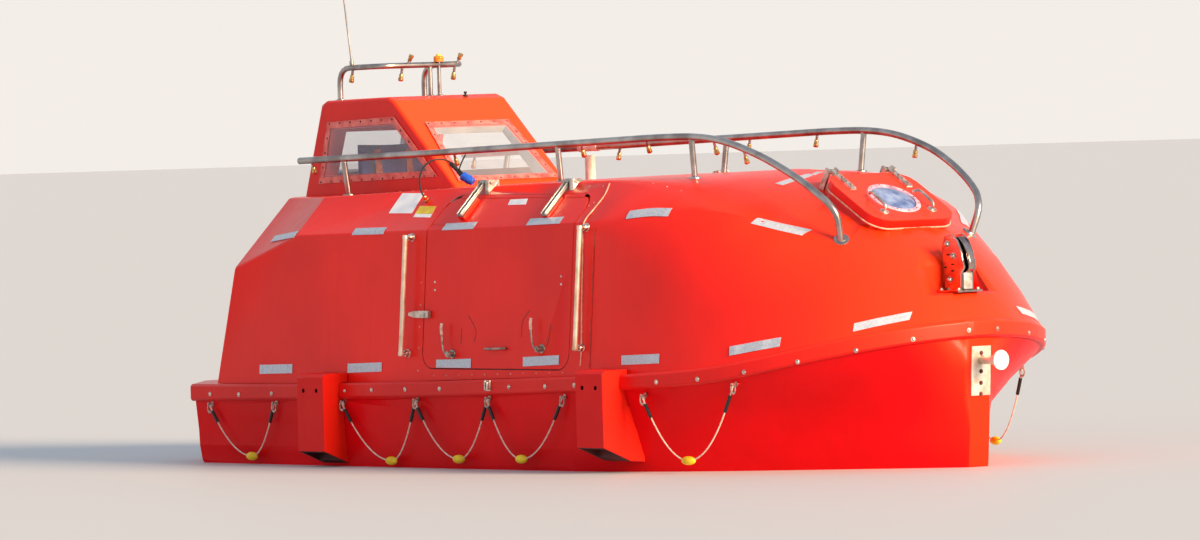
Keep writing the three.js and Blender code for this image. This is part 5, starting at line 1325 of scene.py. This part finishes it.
# Polished hook cheeks: nearly a mirror, a little brown
hook_steel = patchy("polished_hook_steel", "#b8a39c", 0.14, 1.0, ("#c6b4ad", "#94807a", 16), 0.0004)
for word, (x, z, facing) in HOOKS.items():
    moulded(f"{word}_hook", f"{word}_hook_cheeks", hook_steel, soften=0.0025, shortest=0.02)
    spots = [(Vector((x + facing * px, side * 0.044, z + pz)), Vector((0, side, 0)))
             for px, pz in CROSS_BOLTS for side in (-1, 1)]
    fasteners(spots, [(0, 0.017), (0.007, 0.016), (0.012, 0.012), (0.0145, 0.005), (0.0145, 0.003),
                      (0.019, 0.002), (0.019, -0.001), (0, -0.001)],
              f"{word}_hook_bolts", "boat", bolt_steel, 20)
    # Painted shade: short dark bars on the cheeks stand for their slots
    cuts = []
    for px, pz in SLOTS:
        for side in (-1, 1):
            middle = Vector((x + facing * px, side * 0.0445, z + pz))
            reach = Vector((0.008, 0, 0))
            cuts.append(round_bar("slot", [middle - reach, middle + reach], 0.0045))
    joined(cuts, f"{word}_hook_slots", "boat", rubber_and_slot_shade)
    block = box((x + facing * 0.056, -0.002, z + 0.058), (0.036, 0.062, 0.09), 0.006, 3)
    foot_bolt = [(0, 0.012), (0.007, 0.012), (0.009, 0.009), (0.009, 0.002), (0.014, 0.0015),
                 (0.014, -0.001), (0, -0.001)]
    feet = [turned("foot_bolt", foot_bolt, (x + dx, dy, z + 0.012), (x + dx, dy, z + 1), 6)
            for dx in (-0.068, 0.068) for dy in (-0.066, 0.066)]
    joined([block, *feet], f"{word}_hook_foot_block", "boat", cast_steel, 30)

# Steering nozzle and propeller
# A cast ring with its fin on the rudder stock, painted with the hull, round a three-bladed
# bronze propeller, gold where the water polishes it and brown elsewhere.
bronze = patchy("cast_propeller_bronze", "#c09448", 0.3, 1.0, ("#d2a75a", "#7d5c2c", 14), 0.0006)
moulded("steering_nozzle", "steering_nozzle_casting", hull_red, "steering_nozzle",
        smooth=40, soften=0.003, shortest=0.03)
moulded("propeller", "propeller_casting", bronze, "propeller", smooth=40)

# Inner moulding, engine and casing
# The sole and side benches are one pale moulding. The diesel stands on its beds under a
# moulded casing with the helmsman's console on it. The liner's gelcoat is rolled on, pale,
# with an orange peel.
liner_coat = patchy("pale_liner_gelcoat", "#d4d2c8", 0.45, 0.0, ("#dedcd3", "#b9b6aa", 4), 0.002, 0.4)
moulded("inner_moulding", "liner_moulding", liner_coat, soften=0.006)
# Engine enamel: sprayed grey green
engine_green = patchy("engine_enamel", "#5d7468", 0.4, 0.0, ("#6d8478", "#3e4e46", 12), 0.0008)
moulded("engine_block", "engine_crankcase", engine_green, soften=0.02)
# Console gelcoat: mid grey, lightly textured
console_grey = patchy("grey_console_gelcoat", "#b9b8b4", 0.45, 0.0, ("#c4c3bf", "#9b9a96", 6), 0.0015, 0.4)
moulded("helm_console", "helm_console_moulding", console_grey, soften=0.008)

# Helm seat
# A grey pedestal with a padded seat and back in blue coated fabric, and two orange belts.
SEAT_X, SEAT_TOP, SEAT_BACK = -2.010, 0.980, 1.720
# Coated fabric of the seat: blue, with a fine leather grain
seat_blue, tree, shader, place = plain_material("blue_coated_fabric", "#26397c", 0.55, Sheen_Weight=0.2)
cloud, _ = mottled(tree, shader, place, "#30479a", "#1b2a5e", 9)
grain = add_node(tree, "ShaderNodeTexVoronoi", [("Vector", place.outputs["Object"])], Scale=320.0)
relief(tree, shader, grain.outputs["Distance"], 0.0006)
# Belt webbing: orange polyester with a cross rib
belt_orange, tree, shader, place = plain_material("orange_belt_webbing", "#d86a1c", 0.7)
ribs = add_node(tree, "ShaderNodeTexWave", [("Vector", place.outputs["Object"])], Scale=60.0,
                wave_type="BANDS")
ribs.bands_direction = "Z"
mottled(tree, shader, place, "#e47a2a", "#b8520f", 30)
relief(tree, shader, ribs.outputs["Fac"], 0.0008)


def cushion(name, low, high, thin, crown):
    """A pad from a box: its edges rounded, its broad sides crowned along the thin axis, then smoothed."""
    low, high = Vector(low), Vector(high)
    pad = box((low + high) / 2, high - low)
    bpy.ops.object.mode_set(mode="EDIT")
    bpy.ops.mesh.subdivide(number_cuts=9)
    bpy.ops.object.mode_set(mode="OBJECT")
    middle, half = (low + high) / 2, (high - low) / 2
    for v in pad.data.vertices:
        t = [(v.co[i] - middle[i]) / half[i] for i in range(3)]
        wide = [i for i in range(3) if i != thin]
        fall = (1 - abs(t[wide[0]]) ** 3) * (1 - abs(t[wide[1]]) ** 3)
        v.co[thin] = middle[thin] + t[thin] * half[thin] * (1 - crown + crown * fall)
        for i, other in (wide, wide[::-1]):
            v.co[i] = middle[i] + t[i] * half[i] * (0.985 + 0.015 * t[other] ** 2)
    for kind, settings in (("BEVEL", {"width": 0.012, "segments": 3, "limit_method": "ANGLE"}),
                           ("SUBSURF", {"levels": 1, "render_levels": 1})):
        shaped = pad.modifiers.new(kind.lower(), kind)
        for key, value in settings.items():
            setattr(shaped, key, value)
        pick(pad)
        bpy.ops.object.modifier_apply(modifier=shaped.name)
    finish_piece(pad, name, "boat", seat_blue, 60)
    return pad


seat_pad = cushion("helm_seat_cushion", (SEAT_X - 0.078, -0.228, SEAT_TOP - 0.088),
                   (SEAT_X + 0.218, 0.228, SEAT_TOP), 2, 0.22)
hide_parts("helm_seat")
cushion("helm_back_cushion", (SEAT_X - 0.138, -0.218, SEAT_TOP - 0.008),
        (SEAT_X - 0.082, 0.218, SEAT_BACK), 0, 0.3)
parts = []
for low, high, soft in (
        ((SEAT_X - 0.11, -0.15, -0.0297), (SEAT_X + 0.15, 0.15, SEAT_TOP - 0.1), 0.02),
        ((SEAT_X - 0.15, -0.21, SEAT_TOP - 0.1), (SEAT_X + 0.2, 0.21, SEAT_TOP - 0.089), 0.003),
        ((SEAT_X - 0.15, -0.2, SEAT_TOP - 0.09), (SEAT_X - 0.14, 0.2, SEAT_BACK - 0.02), 0.003)):
    low, high = Vector(low), Vector(high)
    parts.append(box((low + high) / 2, high - low, soft, 3))
joined(parts, "helm_seat_pedestal", "boat", console_grey, 30)
for i, y in enumerate((-0.11, 0.11)):
    path = smooth_points([(SEAT_X - 0.088, y, SEAT_BACK - 0.03), (SEAT_X - 0.074, y, 1.5),
                          (SEAT_X - 0.072, y, 1.3), (SEAT_X - 0.068, y * 1.05, 1.1),
                          (SEAT_X - 0.05, y * 1.1, 1.0)], 4)
    strip([(p, Vector((1, 0, 0))) for p in path], 0.045, f"helm_seat_belt_{i + 1}",
          "boat", belt_orange, 0.003)

# Helm wheel
# A black plastic rim on three spokes, in front of the console.
WHEEL_AT, WHEEL_R, RIM_R = Vector((-1.450, 0, 1.150)), 0.180, 0.0118
# Wheel plastic: black and grained
wheel_black = patchy("black_wheel_plastic", "#1c1d20", 0.48, 0.0, ("#26272a", "#121315", 30), 0.0005)
parts = [turned("wheel_rim", [
    (WHEEL_R + RIM_R * math.cos(a), RIM_R * math.sin(a)) for a in [k * math.pi / 6 for k in range(13)]],
    WHEEL_AT, WHEEL_AT + Vector((1, 0, 0)), 48)]
for k in range(3):
    a = math.pi / 2 + k * 2 * math.pi / 3
    out = Vector((0, math.cos(a), math.sin(a)))
    parts.append(round_bar("spoke", [WHEEL_AT, WHEEL_AT + out * (WHEEL_R - 0.002)], 0.0085))
parts.append(turned("hub", [
    (0, -0.02), (0.022, -0.02), (0.029, -0.014), (0.029, 0.018), (0.026, 0.021), (0, 0.021)],
    WHEEL_AT, WHEEL_AT + Vector((1, 0, 0)), 28))
wheel = joined(parts, "helm_wheel_moulding", "helm_wheel", wheel_black)
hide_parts("helm_wheel")
